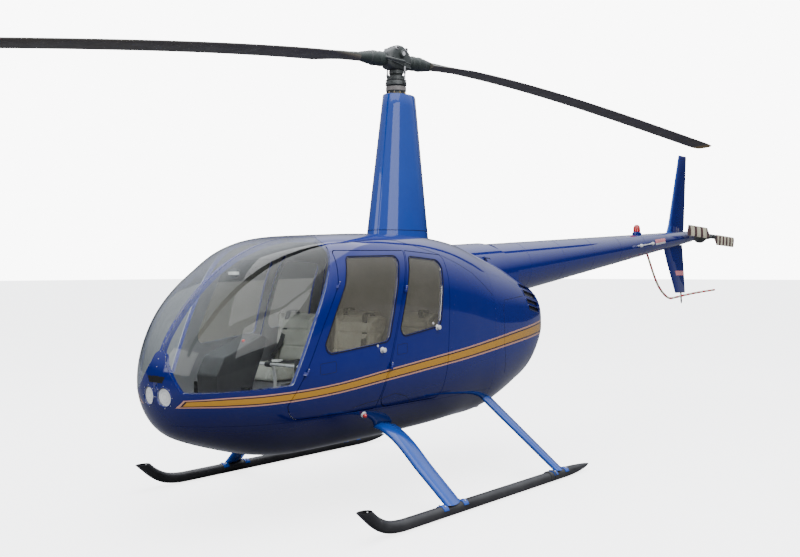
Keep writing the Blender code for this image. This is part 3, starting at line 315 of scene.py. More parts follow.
def meshPiece(name, points, faces, look, flat=False, shifted=True):
    mesh = bpy.data.meshes.new(name)
    shift = np.array([0.0, datumY if shifted else 0.0, 0.0])
    mesh.from_pydata([tuple(np.array(p, float) + shift) for p in points], [], faces)
    mesh.update()
    for one in (look if isinstance(look, (list, tuple)) else [look]):
        mesh.materials.append(looks[one])
    piece = bpy.data.objects.new(name, mesh)
    bpy.context.scene.collection.objects.link(piece)
    if not flat:
        mesh.shade_smooth()
        mesh.set_sharp_from_angle(angle=math.radians(32.0))
    return piece


def settle(piece, body="airframe", stands=()):
    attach(piece, body)
    if stands:
        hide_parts(*stands)
    return piece


def tidyFaces(piece):
    work = bmesh.new()
    work.from_mesh(piece.data)
    bmesh.ops.remove_doubles(work, verts=work.verts, dist=1e-6)
    bmesh.ops.recalc_face_normals(work, faces=work.faces)
    work.to_mesh(piece.data)
    work.free()
    return piece


def loftFaces(count, rows, closedStart=True, closedEnd=True):
    faces = [(r * count + i, r * count + (i + 1) % count, (r + 1) * count + (i + 1) % count, (r + 1) * count + i)
             for r in range(rows - 1) for i in range(count)]
    if closedStart:
        faces.append(tuple(reversed(range(count))))
    if closedEnd:
        faces.append(tuple((rows - 1) * count + i for i in range(count)))
    return faces


def loft(name, rings, look, **kinds):
    points = [p for ring in rings for p in ring]
    piece = meshPiece(name, points, loftFaces(len(rings[0]), len(rings)), look, **kinds)
    return reshade(tidyFaces(piece))


def reshade(piece, degrees=32.0):
    piece.data.shade_smooth()
    piece.data.set_sharp_from_angle(angle=math.radians(degrees))
    return piece


def joined(pieces, name):
    work = bmesh.new()
    slots, spare = [], []
    for piece in pieces:
        mesh = piece.data
        first = len(work.faces)
        work.from_mesh(mesh)
        work.faces.ensure_lookup_table()
        remap = []
        for one in mesh.materials:
            if one not in slots:
                slots.append(one)
            remap.append(slots.index(one))
        for face in work.faces[first:]:
            face.material_index = remap[face.material_index]
        spare.append(piece)
    mesh = bpy.data.meshes.new(name)
    work.to_mesh(mesh)
    work.free()
    for one in slots:
        mesh.materials.append(one)
    for piece in spare:
        bpy.data.objects.remove(piece)
    made = bpy.data.objects.new(name, mesh)
    bpy.context.scene.collection.objects.link(made)
    return reshade(made)


def mirroredPiece(piece, name):
    mesh = piece.data.copy()
    mesh.transform(Matrix.Diagonal((-1.0, 1.0, 1.0, 1.0)))
    mesh.flip_normals()
    made = bpy.data.objects.new(name, mesh)
    bpy.context.scene.collection.objects.link(made)
    return made


# The cabin and cowling surface
# station, top z, bottom z, half width, waist z, upper power, lower power; the first and last rows are the poles
hull = {"rows": [
    (-2.256, 0.868, 0.868, 0.000, 0.868, 2.0, 1.9), (-2.252, 0.955, 0.779, 0.064, 0.875, 2.0, 1.9),
    (-2.235, 1.035, 0.707, 0.172, 0.878, 2.0, 1.9), (-2.190, 1.145, 0.619, 0.275, 0.885, 2.2, 1.9),
    (-2.110, 1.264, 0.555, 0.377, 0.890, 2.4, 2.1), (-2.000, 1.392, 0.508, 0.465, 0.898, 2.7, 2.2),
    (-1.850, 1.523, 0.458, 0.545, 0.915, 2.8, 2.4), (-1.660, 1.644, 0.405, 0.602, 0.941, 3.0, 2.5),
    (-1.450, 1.731, 0.374, 0.634, 0.970, 4.0, 2.5), (-1.200, 1.789, 0.373, 0.652, 1.000, 5.0, 2.6),
    (-0.900, 1.813, 0.376, 0.659, 1.000, 5.1, 2.6), (-0.600, 1.822, 0.380, 0.660, 1.000, 4.7, 2.6),
    (-0.300, 1.824, 0.386, 0.655, 0.999, 4.2, 2.6), (0.000, 1.810, 0.396, 0.640, 0.989, 3.7, 2.6),
    (0.250, 1.785, 0.407, 0.619, 0.969, 3.3, 2.5), (0.500, 1.733, 0.419, 0.596, 0.954, 3.0, 2.5),
    (0.800, 1.655, 0.466, 0.555, 0.955, 3.0, 2.2), (1.050, 1.572, 0.533, 0.511, 0.973, 3.1, 2.0),
    (1.250, 1.491, 0.612, 0.461, 1.005, 3.4, 2.0), (1.400, 1.416, 0.731, 0.410, 1.057, 3.7, 1.7),
    (1.500, 1.331, 0.859, 0.344, 1.096, 3.5, 1.6), (1.560, 1.246, 0.968, 0.232, 1.135, 3.1, 1.6),
    (1.580, 1.105, 1.105, 0.000, 1.105, 3.1, 1.6)],
    "stations": 700, "around": 180, "smoothing": 0.035}


def hermite(knots, values, spots, ends):
    slopes = np.zeros(len(knots))
    steps = np.diff(knots)
    rises = np.diff(values) / steps
    slopes[1:-1] = (rises[:-1] * steps[1:] + rises[1:] * steps[:-1]) / (steps[1:] + steps[:-1])
    slopes[0] = rises[0] if ends[0] is None else ends[0]
    slopes[-1] = rises[-1] if ends[1] is None else ends[1]
    i = np.clip(np.searchsorted(knots, spots, side="right") - 1, 0, len(steps) - 1)
    t = (spots - knots[i]) / steps[i]
    return ((2 * t ** 3 - 3 * t ** 2 + 1) * values[i] + (t ** 3 - 2 * t ** 2 + t) * steps[i] * slopes[i]
            + (3 * t ** 2 - 2 * t ** 3) * values[i + 1] + (t ** 3 - t ** 2) * steps[i] * slopes[i + 1])


def makeHull():
    rows = np.array(hull["rows"])
    knots = np.concatenate([[0.0], np.cumsum(np.hypot(np.diff(rows[:, 0]), np.diff(rows[:, 1])))])
    spots = np.linspace(0.0, knots[-1], hull["stations"])
    step = spots[1]
    columns = []
    for c in range(7):
        ends = (0.0, 0.0) if c in (0, 4, 5, 6) else (None, None)
        columns.append(hermite(knots, rows[:, c], spots, ends))
    reach = int(hull["smoothing"] * 3 / step)
    weights = np.exp(-0.5 * (np.arange(-reach, reach + 1) * step / hull["smoothing"]) ** 2)
    weights /= weights.sum()
    for c, line in enumerate(columns):
        even = c in (0, 4, 5, 6)
        head, tail = line[1:reach + 1][::-1], line[-reach - 1:-1][::-1]
        if not even:
            head, tail = 2 * line[0] - head, 2 * line[-1] - tail
        columns[c] = np.convolve(np.concatenate([head, line, tail]), weights, "valid")
    y, top, bottom, width, waist, upper, lower = columns
    top[0] = bottom[0] = waist[0]
    top[-1] = bottom[-1] = waist[-1]
    width = np.maximum(width, 0.0)
    angle = np.linspace(np.pi / 2, -np.pi / 2, 801)
    c, s = np.abs(np.cos(angle)), np.abs(np.sin(angle))
    count = hull["around"]
    xs, zs, length = np.zeros((len(y), count + 1)), np.zeros((len(y), count + 1)), np.zeros(len(y))
    for i in range(len(y)):
        power = np.where(angle >= 0, upper[i], lower[i])
        reachZ = np.where(angle >= 0, top[i] - waist[i], bottom[i] - waist[i])
        x, z = width[i] * c ** (2 / power), waist[i] + reachZ * s ** (2 / power)
        run = np.concatenate([[0.0], np.cumsum(np.hypot(np.diff(x), np.diff(z)))])
        even = np.linspace(0.0, run[-1], count + 1)
        xs[i], zs[i], length[i] = np.interp(even, run, x), np.interp(even, run, z), run[-1]
    xs[:, 0] = xs[:, -1] = 0.0
    return {"u": spots, "step": step, "y": y, "top": top, "bottom": bottom, "width": width, "waist": waist,
            "upper": upper, "lower": lower, "x": xs, "z": zs, "length": length,
            "dy": np.gradient(y, step), "dx": np.gradient(xs, step, axis=0), "dz": np.gradient(zs, step, axis=0)}


skin = makeHull()



def surfaceAt(spots):       # spots are (distance aft, distance down round the ring from the roof's middle)
    spots = np.asarray(spots, float).reshape(-1, 2)
    a = np.clip(spots[:, 0] / skin["step"], 0, len(skin["u"]) - 1.000001)
    i, t = a.astype(int), a % 1.0
    length = skin["length"][i] * (1 - t) + skin["length"][i + 1] * t
    b = np.clip(spots[:, 1] / np.maximum(length, 1e-9), 0, 1) * hull["around"]
    j = np.minimum(b.astype(int), hull["around"] - 1)
    s = b - j

    def grid(table):
        return ((table[i, j] * (1 - t) + table[i + 1, j] * t) * (1 - s)
                + (table[i, j + 1] * (1 - t) + table[i + 1, j + 1] * t) * s)

    def line(table):
        return table[i] * (1 - t) + table[i + 1] * t
    x, y, z = grid(skin["x"]), line(skin["y"]), grid(skin["z"])
    waist = line(skin["waist"])
    above = z >= waist
    reach = np.where(above, line(skin["top"]) - waist, waist - line(skin["bottom"]))
    power = np.where(above, line(skin["upper"]), line(skin["lower"]))
    width, reach = np.maximum(line(skin["width"]), 1e-6), np.maximum(reach, 1e-6)
    nx = power / width * np.clip(x / width, 0, 1) ** (power - 1)
    nz = power / reach * np.clip(np.abs(z - waist) / reach, 0, 1) ** (power - 1) * np.where(above, 1, -1)
    slope = line(skin["dy"])
    normal = np.stack([nx * slope, -(nx * grid(skin["dx"]) + nz * grid(skin["dz"])), nz * slope], 1)
    normal /= np.maximum(np.linalg.norm(normal, axis=1, keepdims=True), 1e-12)
    return np.stack([x, y, z], 1), normal


def ringLength(a):
    return np.interp(a, skin["u"], skin["length"])


def aftOf(y):
    return float(np.interp(y, skin["y"], skin["u"]))


def sideSpot(y, z):         # side view to the surface's own coordinates
    a = aftOf(y)
    i = min(int(a / skin["step"]), len(skin["u"]) - 2)
    t = a / skin["step"] - i
    heights = skin["z"][i] * (1 - t) + skin["z"][i + 1] * t
    b = np.interp(-z, -heights, np.linspace(0.0, 1.0, hull["around"] + 1))
    return a, b * float(ringLength(a))


def frontSpot(x, z, last=-1.7):     # front view, on the nose
    best = None
    for i in range(1, int(aftOf(last) / skin["step"])):
        if not skin["bottom"][i] <= z <= skin["top"][i]:
            continue
        b = np.interp(-z, -skin["z"][i], np.arange(hull["around"] + 1))
        here = np.interp(b, np.arange(hull["around"] + 1), skin["x"][i])
        if here >= x:
            t = 0.0 if best is None else (x - best[1]) / max(here - best[1], 1e-9)
            a = skin["u"][i - 1] + (t if best is not None else 1.0) * skin["step"]
            return a, b / hull["around"] * float(ringLength(a))
        best = (i, here)
    return sideSpot(last, z)


def rounded(corners, steps=8):
    outline, count = [], len(corners)
    for i, (a, b, radius) in enumerate(corners):
        here = Vector((a, b))
        if radius <= 0.0:
            outline.append(here)
            continue
        before = (Vector(corners[i - 1][:2]) - here).normalized()
        after = (Vector(corners[(i + 1) % count][:2]) - here).normalized()
        half = before.angle(after) / 2.0
        centre = here + (before + after).normalized() * (radius / math.sin(half))
        start = here + before * (radius / math.tan(half)) - centre
        end = here + after * (radius / math.tan(half)) - centre
        sweep = start.angle_signed(end)
        outline += [centre + Matrix.Rotation(-sweep * k / steps, 2) @ start for k in range(steps + 1)]
    return outline


def dense(line, step=0.012, closed=True):
    spots = [np.array(p[:2], float) for p in line]
    if closed:
        spots.append(spots[0])
    made = []
    for p, q in zip(spots, spots[1:]):
        parts = max(1, int(math.ceil(np.linalg.norm(q - p) / step)))
        made += [p + (q - p) * k / parts for k in range(parts)]
    if not closed:
        made.append(spots[-1])
    return made


def onSide(corners, step=0.012):
    return [sideSpot(*p) for p in dense(rounded(corners), step)]


def insetLoop(loop, distance):
    spots = np.array(loop)
    area = 0.5 * np.sum(spots[:, 0] * np.roll(spots[:, 1], -1) - np.roll(spots[:, 0], -1) * spots[:, 1])
    along = np.roll(spots, -1, 0) - spots
    along /= np.maximum(np.linalg.norm(along, axis=1, keepdims=True), 1e-9)
    normals = np.stack([-along[:, 1], along[:, 0]], 1) * math.copysign(1.0, area)
    both = normals + np.roll(normals, 1, 0)
    both /= np.maximum(np.sum(both ** 2, axis=1, keepdims=True), 1.0) / 2.0
    return [tuple(p) for p in spots + both * distance]


def insideLoop(spots, loop):
    loop = np.array(loop)
    following = np.roll(loop, -1, 0)
    x, y = spots[:, 0:1], spots[:, 1:2]
    crosses = (loop[:, 1] > y) != (following[:, 1] > y)
    with np.errstate(divide="ignore", invalid="ignore"):
        reach = (following[:, 0] - loop[:, 0]) * (y - loop[:, 1]) / (following[:, 1] - loop[:, 1]) + loop[:, 0]
    return (crosses & (x < reach)).sum(1) % 2 == 1


def flatPanel(outline, holes, spacing):
    loops = [np.array(outline)] + [np.array(h) for h in holes]
    edges, start = [], 0
    for loop in loops:
        edges += [(start + i, start + (i + 1) % len(loop)) for i in range(len(loop))]
        start += len(loop)
    rim = np.concatenate(loops)
    low, high = loops[0].min(0), loops[0].max(0)
    grid = np.stack(np.meshgrid(np.arange(low[0] + spacing / 2, high[0], spacing),
                                np.arange(low[1] + spacing / 2, high[1], spacing)), -1).reshape(-1, 2)
    keep = insideLoop(grid, loops[0])
    for loop in loops[1:]:
        keep &= ~insideLoop(grid, loop)
    grid = grid[keep]
    if len(grid):
        nearest = np.concatenate([np.sqrt(((part[:, None] - rim[None]) ** 2).sum(2)).min(1)
                                  for part in np.array_split(grid, max(1, len(grid) // 500))])
        grid = grid[nearest > spacing * 0.45]
    spots = np.concatenate([rim, grid])
    result = delaunay_2d_cdt([Vector(p) for p in spots], edges, [], 0, 1e-6)
    spots = np.array([tuple(v) for v in result[0]])
    faces = np.array([f for f in result[2] if len(f) == 3])
    middles = spots[faces].mean(1)
    keep = insideLoop(middles, loops[0])
    for loop in loops[1:]:
        keep &= ~insideLoop(middles, loop)
    return spots, faces[keep]


# A panel of the hull: outlines in the surface's coordinates, depths from the painted skin inwards
def hullPanel(name, outline, holes, depths, looksUsed, sides, spacing=0.026):
    spots, faces = flatPanel(outline, holes, spacing)
    places, normals = surfaceAt(spots)
    corner = places[faces]
    turn = np.cross(corner[:, 1] - corner[:, 0], corner[:, 2] - corner[:, 0])
    flip = (turn * normals[faces].sum(1)).sum(1) < 0
    faces[flip] = faces[flip][:, ::-1]
    count = len(spots)
    edges = {}
    for tri in faces:
        for k in range(3):
            edges[(tri[k], tri[(k + 1) % 3])] = True
    rims = [e for e in edges if (e[1], e[0]) not in edges]
    middle = np.abs(places[:, 0]) < 1e-6
    if sides == "both":
        rims = [e for e in rims if not (middle[e[0]] and middle[e[1]])]
    outer, inner = places - normals * depths[0], places - normals * depths[1]
    if sides == "both":
        outer[middle, 0] = inner[middle, 0] = 0.0
    points = np.concatenate([outer, inner])
    turned = np.concatenate([normals, -normals])
    solid = [tuple(t) for t in faces] + [tuple(t[::-1] + count) for t in faces]
    solid += [(b, a, a + count, b + count) for a, b in rims]
    kinds = [0] * len(faces) + [1] * len(faces) + [0] * len(rims)
    cornerNormals = [turned[list(f)] for f in solid[:2 * len(faces)]]
    for f in solid[2 * len(faces):]:
        p = points[list(f)]
        flat = np.cross(p[1] - p[0], p[2] - p[0])
        flat /= max(np.linalg.norm(flat), 1e-12)
        cornerNormals.append(np.tile(flat, (4, 1)))
    if sides != "port":
        mirror = points * [-1, 1, 1]
        if sides == "starboard":
            points = mirror
            solid = [tuple(reversed(f)) for f in solid]
            cornerNormals = [n[::-1] * [-1, 1, 1] for n in cornerNormals]
        else:
            twin = np.arange(len(points)) + len(points)
            onLine = np.abs(points[:, 0]) < 1e-6
            twin[onLine] = np.arange(len(points))[onLine]
            solid += [tuple(int(twin[v]) for v in reversed(f)) for f in solid]
            cornerNormals += [n[::-1] * [-1, 1, 1] for n in cornerNormals]
            kinds = kinds * 2
            points = np.concatenate([points, mirror])
            used = sorted({v for f in solid for v in f})
            place = {v: k for k, v in enumerate(used)}
            points = points[used]
            solid = [tuple(place[v] for v in f) for f in solid]
    piece = meshPiece(name, points, [tuple(int(v) for v in f) for f in solid], looksUsed)
    piece.data.polygons.foreach_set("material_index", kinds)
    piece.data.normals_split_custom_set(np.concatenate(cornerNormals).tolist())
    return piece


# Doors, windows and panels: side-view corners as station, height, corner radius
cabin = {
    "frontDoor": [(-1.318, 1.690, 0.03), (-0.671, 1.698, 0.01), (-0.748, 1.438, 0.0), (-0.902, 0.938, 0.0),
                  (-0.990, 0.665, 0.02), (-1.690, 0.665, 0.09), (-1.735, 0.760, 0.03), (-1.617, 0.951, 0.0),
                  (-1.485, 1.230, 0.0), (-1.353, 1.471, 0.0)],
    "rearDoor": [(-0.663, 1.698, 0.01), (-0.222, 1.672, 0.05), (-0.215, 1.500, 0.0), (-0.255, 0.900, 0.0),
                 (-0.290, 0.665, 0.09), (-0.982, 0.665, 0.07), (-0.894, 0.938, 0.0), (-0.740, 1.438, 0.0)],
    "frontWindow": [(-1.240, 1.645, 0.03), (-0.762, 1.656, 0.04), (-0.910, 1.105, 0.05), (-1.498, 1.049, 0.05),
                    (-1.385, 1.292, 0.0), (-1.290, 1.472, 0.0)],
    "rearWindow": [(-0.639, 1.653, 0.03), (-0.279, 1.627, 0.06), (-0.351, 1.181, 0.06), (-0.802, 1.121, 0.05)],
    "windshieldAft": [(-1.218, 1.786), (-1.296, 1.756, 0.04), (-1.360, 1.625, 0.04), (-1.550, 1.230, 0.0),
                      (-1.705, 0.880, 0.03), (-1.960, 0.865), (-2.100, 0.858), (-2.200, 0.853)],
    "windshieldCorner": (0.200, 0.853), "stripFoot": (0.0125, 1.090), "stripHalf": 0.0125,
    "louvres": [[(1.000, 1.457, 0.006), (1.275, 1.414, 0.006), (1.340, 1.366, 0.006), (1.022, 1.421, 0.006)],
                [(1.027, 1.405, 0.008), (1.355, 1.349, 0.008), (1.317, 1.304, 0.008), (1.044, 1.354, 0.008)],
                [(1.048, 1.335, 0.008), (1.322, 1.287, 0.008), (1.337, 1.246, 0.008), (1.063, 1.294, 0.008)],
                [(1.070, 1.279, 0.008), (1.344, 1.233, 0.008), (1.341, 1.199, 0.008), (1.079, 1.238, 0.008)]],
    "sillZ": 0.655, "firewallY": 0.42, "seam": 0.0008, "wall": 0.035, "doorWall": 0.025, "cowlWall": 0.012,
    "doorGap": 0.005, "sillGap": 0.007, "aftGap": 0.006, "glassIn": 0.0012, "glassDepths": (0.0010, 0.0050),
    "paneDepths": (0.0040, 0.0080)}
lamp = {"x": 0.072, "z": 0.823, "radius": 0.056}


def insetCorners(corners, edgeGap):
    spots = [Vector(c[:2]) for c in corners]
    following = spots[1:] + spots[:1]
    turn = math.copysign(1.0, sum(a.x * b.y - b.x * a.y for a, b in zip(spots, following)))
    lines = []
    for a, b in zip(spots, following):
        along = (b - a).normalized()
        inward = Vector((-along.y, along.x)) * turn
        step = edgeGap(inward)
        lines.append((a + inward * step, along, step))
    moved = []
    for (p, u, before), (q, v, after), corner in zip(lines[-1:] + lines[:-1], lines, corners):
        cross = u.x * v.y - u.y * v.x
        spot = q if abs(cross) < 1e-6 else p + u * (((q - p).x * v.y - (q - p).y * v.x) / cross)
        moved.append((spot.x, spot.y, max(corner[2] - min(before, after), 0.0)))
    return moved


def doorGapAt(inward):
    if inward.y > 0.8:
        return cabin["sillGap"]
    return cabin["aftGap"] if inward.x < -0.5 else cabin["doorGap"]


def ringSpots(y, high, low, step=0.012):        # down a ring between two heights, or its ends
    a = aftOf(y)
    top = 0.0 if high is None else sideSpot(y, high)[1]
    bottom = float(ringLength(a)) if low is None else sideSpot(y, low)[1]
    parts = max(2, int(abs(bottom - top) / step))
    return [(a, top + (bottom - top) * k / parts) for k in range(parts + 1)]


def middleSpots(first, last, keel, step=0.012):     # along the roof's or the keel's middle line
    parts = max(2, int(abs(last - first) / step))
    stations = [first + (last - first) * k / parts for k in range(parts + 1)]
    return [(a, float(ringLength(a)) if keel else 0.0) for a in stations]


def heightSpots(first, last, z, step=0.012):
    parts = max(2, int(abs(last - first) / step))
    return [sideSpot(first + (last - first) * k / parts, z) for k in range(parts + 1)]


def circleSpots(x, z, radius, count=28):
    return [frontSpot(x + radius * math.cos(t), z + radius * math.sin(t))
            for t in (2 * math.pi * k / count for k in range(count))]


def windshieldLoop():
    loop = []
    roof = cabin["windshieldAft"][0]
    first, foot = aftOf(roof[0]), frontSpot(*cabin["stripFoot"])
    parts = 90
    for k in range(parts):
        a = first + (foot[0] - first) * k / parts
        loop.append((a, cabin["stripHalf"]))
    corner = cabin["windshieldCorner"]
    for p in dense([cabin["stripFoot"], corner], 0.010, closed=False):
        loop.append(frontSpot(*p))
    side = [(p[0], p[1], p[2] if len(p) > 2 else 0.0) for p in reversed(cabin["windshieldAft"])]
    bend = rounded([(-2.3, 0.84, 0.0)] + side + [(-1.1, 1.84, 0.0)])[1:-1]
    for p in dense(bend, 0.012, closed=False):
        loop.append(sideSpot(*p))
    return loop[:-1]


crossing = next(y for y in np.arange(-2.25, -2.1, 0.0005)
                if np.interp(y, skin["y"], skin["bottom"]) <= cabin["sillZ"])      # where the sill seam meets the keel
fire, tail = aftOf(cabin["firewallY"]), float(skin["u"][-1])
seam = cabin["seam"]
glassLoop = windshieldLoop()
lampLoop = circleSpots(lamp["x"], lamp["z"], lamp["radius"])
doorHoles = [onSide(cabin["frontDoor"]), onSide(cabin["rearDoor"])]
shellOutline = (middleSpots(0.0, fire, False)[:-1] + ringSpots(cabin["firewallY"], None, cabin["sillZ"] + seam)[:-1]
                + heightSpots(cabin["firewallY"], crossing, cabin["sillZ"] + seam)[:-1]
                + middleSpots(aftOf(crossing), 0.0, True)[:-1])
cabinShell = hullPanel("cabinShell", shellOutline, [glassLoop, lampLoop, *doorHoles], (0.0, cabin["wall"]),
                       ("body", "trim"), "both")
settle(cabinShell, stands=("cabin_frame",))
bellyOutline = (heightSpots(crossing, cabin["firewallY"], cabin["sillZ"] - seam)[:-1]
                + ringSpots(cabin["firewallY"], cabin["sillZ"] - seam, None)[:-1]
                + middleSpots(fire, aftOf(crossing), True)[:-1])
settle(hullPanel("bellyShell", bellyOutline, [], (0.0, cabin["wall"]), ("body", "trim"), "both"),
       stands=("belly_shell",))
cowlStart = cabin["firewallY"] + 2 * seam
cowlOutline = (middleSpots(aftOf(cowlStart), tail, False)[:-1] + middleSpots(tail, aftOf(cowlStart), True)[:-1]
               + ringSpots(cowlStart, None, None)[::-1][:-1])
louvreHoles = [onSide(corners, 0.02) for corners in cabin["louvres"]]
settle(hullPanel("cowlShell", cowlOutline, louvreHoles, (0.0, cabin["cowlWall"]), ("body", "black"), "both"),
       stands=("engine_cowling",))
for which, door, window in (("front", "frontDoor", "frontWindow"), ("rear", "rearDoor", "rearWindow")):
    hole = onSide(cabin[window])
    outline = onSide(insetCorners(cabin[door], doorGapAt))
    pane = insetLoop(hole, cabin["glassIn"])
    for side in ("port", "starboard"):
        name = "%s_%s" % (which, side)
        panel = hullPanel("doorSkin_" + name, outline, [hole], (0.0, cabin["doorWall"]), ("body", "trim"), side)
        settle(panel, "door_" + name, ("door_" + name,))
        glass = hullPanel("doorGlass_" + name, pane, [], cabin["paneDepths"], "window", side)
        settle(glass, "door_" + name, ("window_" + name,))
for side in ("port", "starboard"):
    glass = hullPanel("bubble_" + side, insetLoop(glassLoop, cabin["glassIn"]), [], cabin["glassDepths"],
                      "windshield", side)
    settle(glass, stands=("windshield_" + side,))
print("hull panels made")

# Smooth shapes: lines, tubes, turned and bevelled pieces


def through(points, count):         # a smooth line through the points
    spots = np.array(points, float)
    knots = np.concatenate([[0.0], np.cumsum(np.linalg.norm(np.diff(spots[:, :3], axis=0), axis=1))])
    at = np.linspace(0.0, knots[-1], count)
    return np.stack([hermite(knots, spots[:, c], at, (None, None)) for c in range(spots.shape[1])], 1)


def straight(points, count):
    spots = np.array(points, float)
    knots = np.concatenate([[0.0], np.cumsum(np.linalg.norm(np.diff(spots[:, :3], axis=0), axis=1))])
    at = np.unique(np.concatenate([knots, np.linspace(0.0, knots[-1], count)]))
    return np.stack([np.interp(at, knots, spots[:, c]) for c in range(spots.shape[1])], 1)


def moved(rings, matrix):
    return [[tuple(matrix @ Vector(p)) for p in ring] for ring in rings]


def tubeRings(line, radii, sides=16, up=(0.0, 0.0, 1.0)):
    line = np.array(line, float)[:, :3]
    along = np.gradient(line, axis=0)
    along /= np.linalg.norm(along, axis=1, keepdims=True)
    normal, rings = np.array(up, float), []
    for place, way, radius in zip(line, along, np.broadcast_to(radii, len(line))):
        side = np.cross(way, normal)
        side /= np.linalg.norm(side)
        normal = np.cross(side, way)
        rings.append([place + radius * (math.cos(t) * side + math.sin(t) * normal)
                      for t in np.linspace(0.0, 2 * math.pi, sides, endpoint=False)])
    return rings


def tube(name, line, radii, look, sides=16, up=(0.0, 0.0, 1.0), matrix=None, **kinds):
    rings = tubeRings(line, radii, sides, up)
    return loft(name, moved(rings, matrix) if matrix else rings, look, **kinds)


def rod(name, start, end, radius, look, sides=16, soft=0.15, matrix=None, **kinds):     # with softened ends
    start, end = np.array(start, float), np.array(end, float)
    way = (end - start) / np.linalg.norm(end - start)
    edge = way * radius * soft
    up = (1.0, 0.0, 0.0) if abs(way[2]) > 0.7 else (0.0, 0.0, 1.0)
    radii = [radius * (1 - soft), radius, radius, radius * (1 - soft)]
    return tube(name, [start, start + edge, end - edge, end], radii, look, sides, up, matrix, **kinds)


def turned(name, centre, profile, look, axis="Z", sides=40, matrix=None, **kinds):      # radius, place on the axis
    rings = []
    for radius, along in profile:
        ring = []
        for t in np.linspace(0.0, 2 * math.pi, sides, endpoint=False):
            a, b = radius * math.cos(t), radius * math.sin(t)
            spot = {"X": (along, a, b), "Y": (a, along, b), "Z": (a, b, along)}[axis]
            ring.append(tuple(np.array(centre, float) + spot))
        rings.append(ring)
    return loft(name, moved(rings, matrix) if matrix else rings, look, **kinds)


def softened(name, points, faces, edge, look, segments=3, matrix=None, **kinds):
    work = bmesh.new()
    made = [work.verts.new(p) for p in points]
    for f in faces:
        work.faces.new([made[i] for i in f])
    bmesh.ops.recalc_face_normals(work, faces=work.faces)
    bmesh.ops.bevel(work, geom=work.edges[:], offset=edge, segments=segments, profile=0.6, affect="EDGES",
                    clamp_overlap=True)
    work.verts.index_update()
    places = [tuple(matrix @ v.co) if matrix else tuple(v.co) for v in work.verts]
    loops = [tuple(v.index for v in f.verts) for f in work.faces]
    work.free()
    return meshPiece(name, places, loops, look, **kinds)


def softBlock(name, low, high, edge, look, segments=3, matrix=None, **kinds):
    points = [(x, y, z) for z in (low[2], high[2]) for y in (low[1], high[1]) for x in (low[0], high[0])]
    faces = [(0, 2, 3, 1), (4, 5, 7, 6), (0, 1, 5, 4), (2, 6, 7, 3), (0, 4, 6, 2), (1, 3, 7, 5)]
    return softened(name, points, faces, edge, look, segments, matrix, **kinds)


def softPrism(name, outline, low, high, edge, look, segments=3, **kinds):     # a side-view outline across x
    points = [(x, y, z) for x in (low, high) for y, z in outline]
    count = len(outline)
    faces = [tuple(range(count)), tuple(range(count, 2 * count))]
    faces += [(i, (i + 1) % count, count + (i + 1) % count, count + i) for i in range(count)]
    return softened(name, points, faces, edge, look, segments, **kinds)


def foilRing(chord, thick, lead, centre, up, points=14):
    x = 0.5 * (1.0 - np.cos(np.pi * np.arange(points + 1) / points))
    t = 0.2969 * np.sqrt(x) - 0.126 * x - 0.3516 * x ** 2 + 0.2843 * x ** 3 - 0.1015 * x ** 4
    t = np.maximum(t * thick / 0.2, 0.0012)
    t[0] = 0.0
    xs, ts = np.concatenate([x, x[:0:-1]]), np.concatenate([t, -t[:0:-1]])
    lead, up = np.array(lead, float), np.array(up, float)
    return [tuple(np.array(centre, float) + lead * ((0.25 - a) * chord) + up * b) for a, b in zip(xs, ts)]


def paintFaces(piece, look, chosen):        # another look for the faces whose middle and normal are chosen
    mesh = piece.data
    mesh.materials.append(looks[look])
    for face in mesh.polygons:
        spot = face.center - Vector((0.0, datumY, 0.0))
        if chosen(spot, face.normal):
            face.material_index = len(mesh.materials) - 1
    return piece


rotorTurn = Matrix.Translation((0.0, -0.040, 3.162)) @ Matrix.Rotation(math.radians(-4.2), 4, "Z")
tailTurn = Matrix.Translation((0.15, 5.893, 1.972)) @ Matrix.Rotation(math.radians(-2.0), 4, "X")

# Tail boom and its fins
tailBoom = {"front": 1.150, "end": 5.560, "refY": 2.433, "refZ": 1.667, "rise": 0.0958, "refRadius": 0.191,
            "taper": -0.0403, "sides": 72}


def boomZ(y):
    return tailBoom["refZ"] + tailBoom["rise"] * (y - tailBoom["refY"])


def boomR(y):
    return tailBoom["refRadius"] + tailBoom["taper"] * (y - tailBoom["refY"])


def boomPoint(y, degrees, out=0.0):      # 0 is port, 90 is up
    t = math.radians(degrees)
    return (math.cos(t) * (boomR(y) + out), y, boomZ(y) + math.sin(t) * (boomR(y) + out))


turns = np.linspace(0.0, 360.0, tailBoom["sides"], endpoint=False)
boomRings = [[boomPoint(y, t) for t in turns] for y in np.linspace(tailBoom["front"], tailBoom["end"], 24)]
settle(loft("tailBoom", boomRings, "plain"), stands=("tail_boom",))
bands = []
for y in (1.560, 2.190, 2.820, 3.450, 4.080, 4.700, 5.300, 5.548):
    rings = [[boomPoint(y + along, t, out) for t in turns] for along, out in
             ((-0.011, -0.001), (-0.0105, 0.0008), (0.0105, 0.0008), (0.011, -0.001))]
    bands.append(loft("band", rings, "plain"))
settle(joined(bands, "boomSkinLaps"))


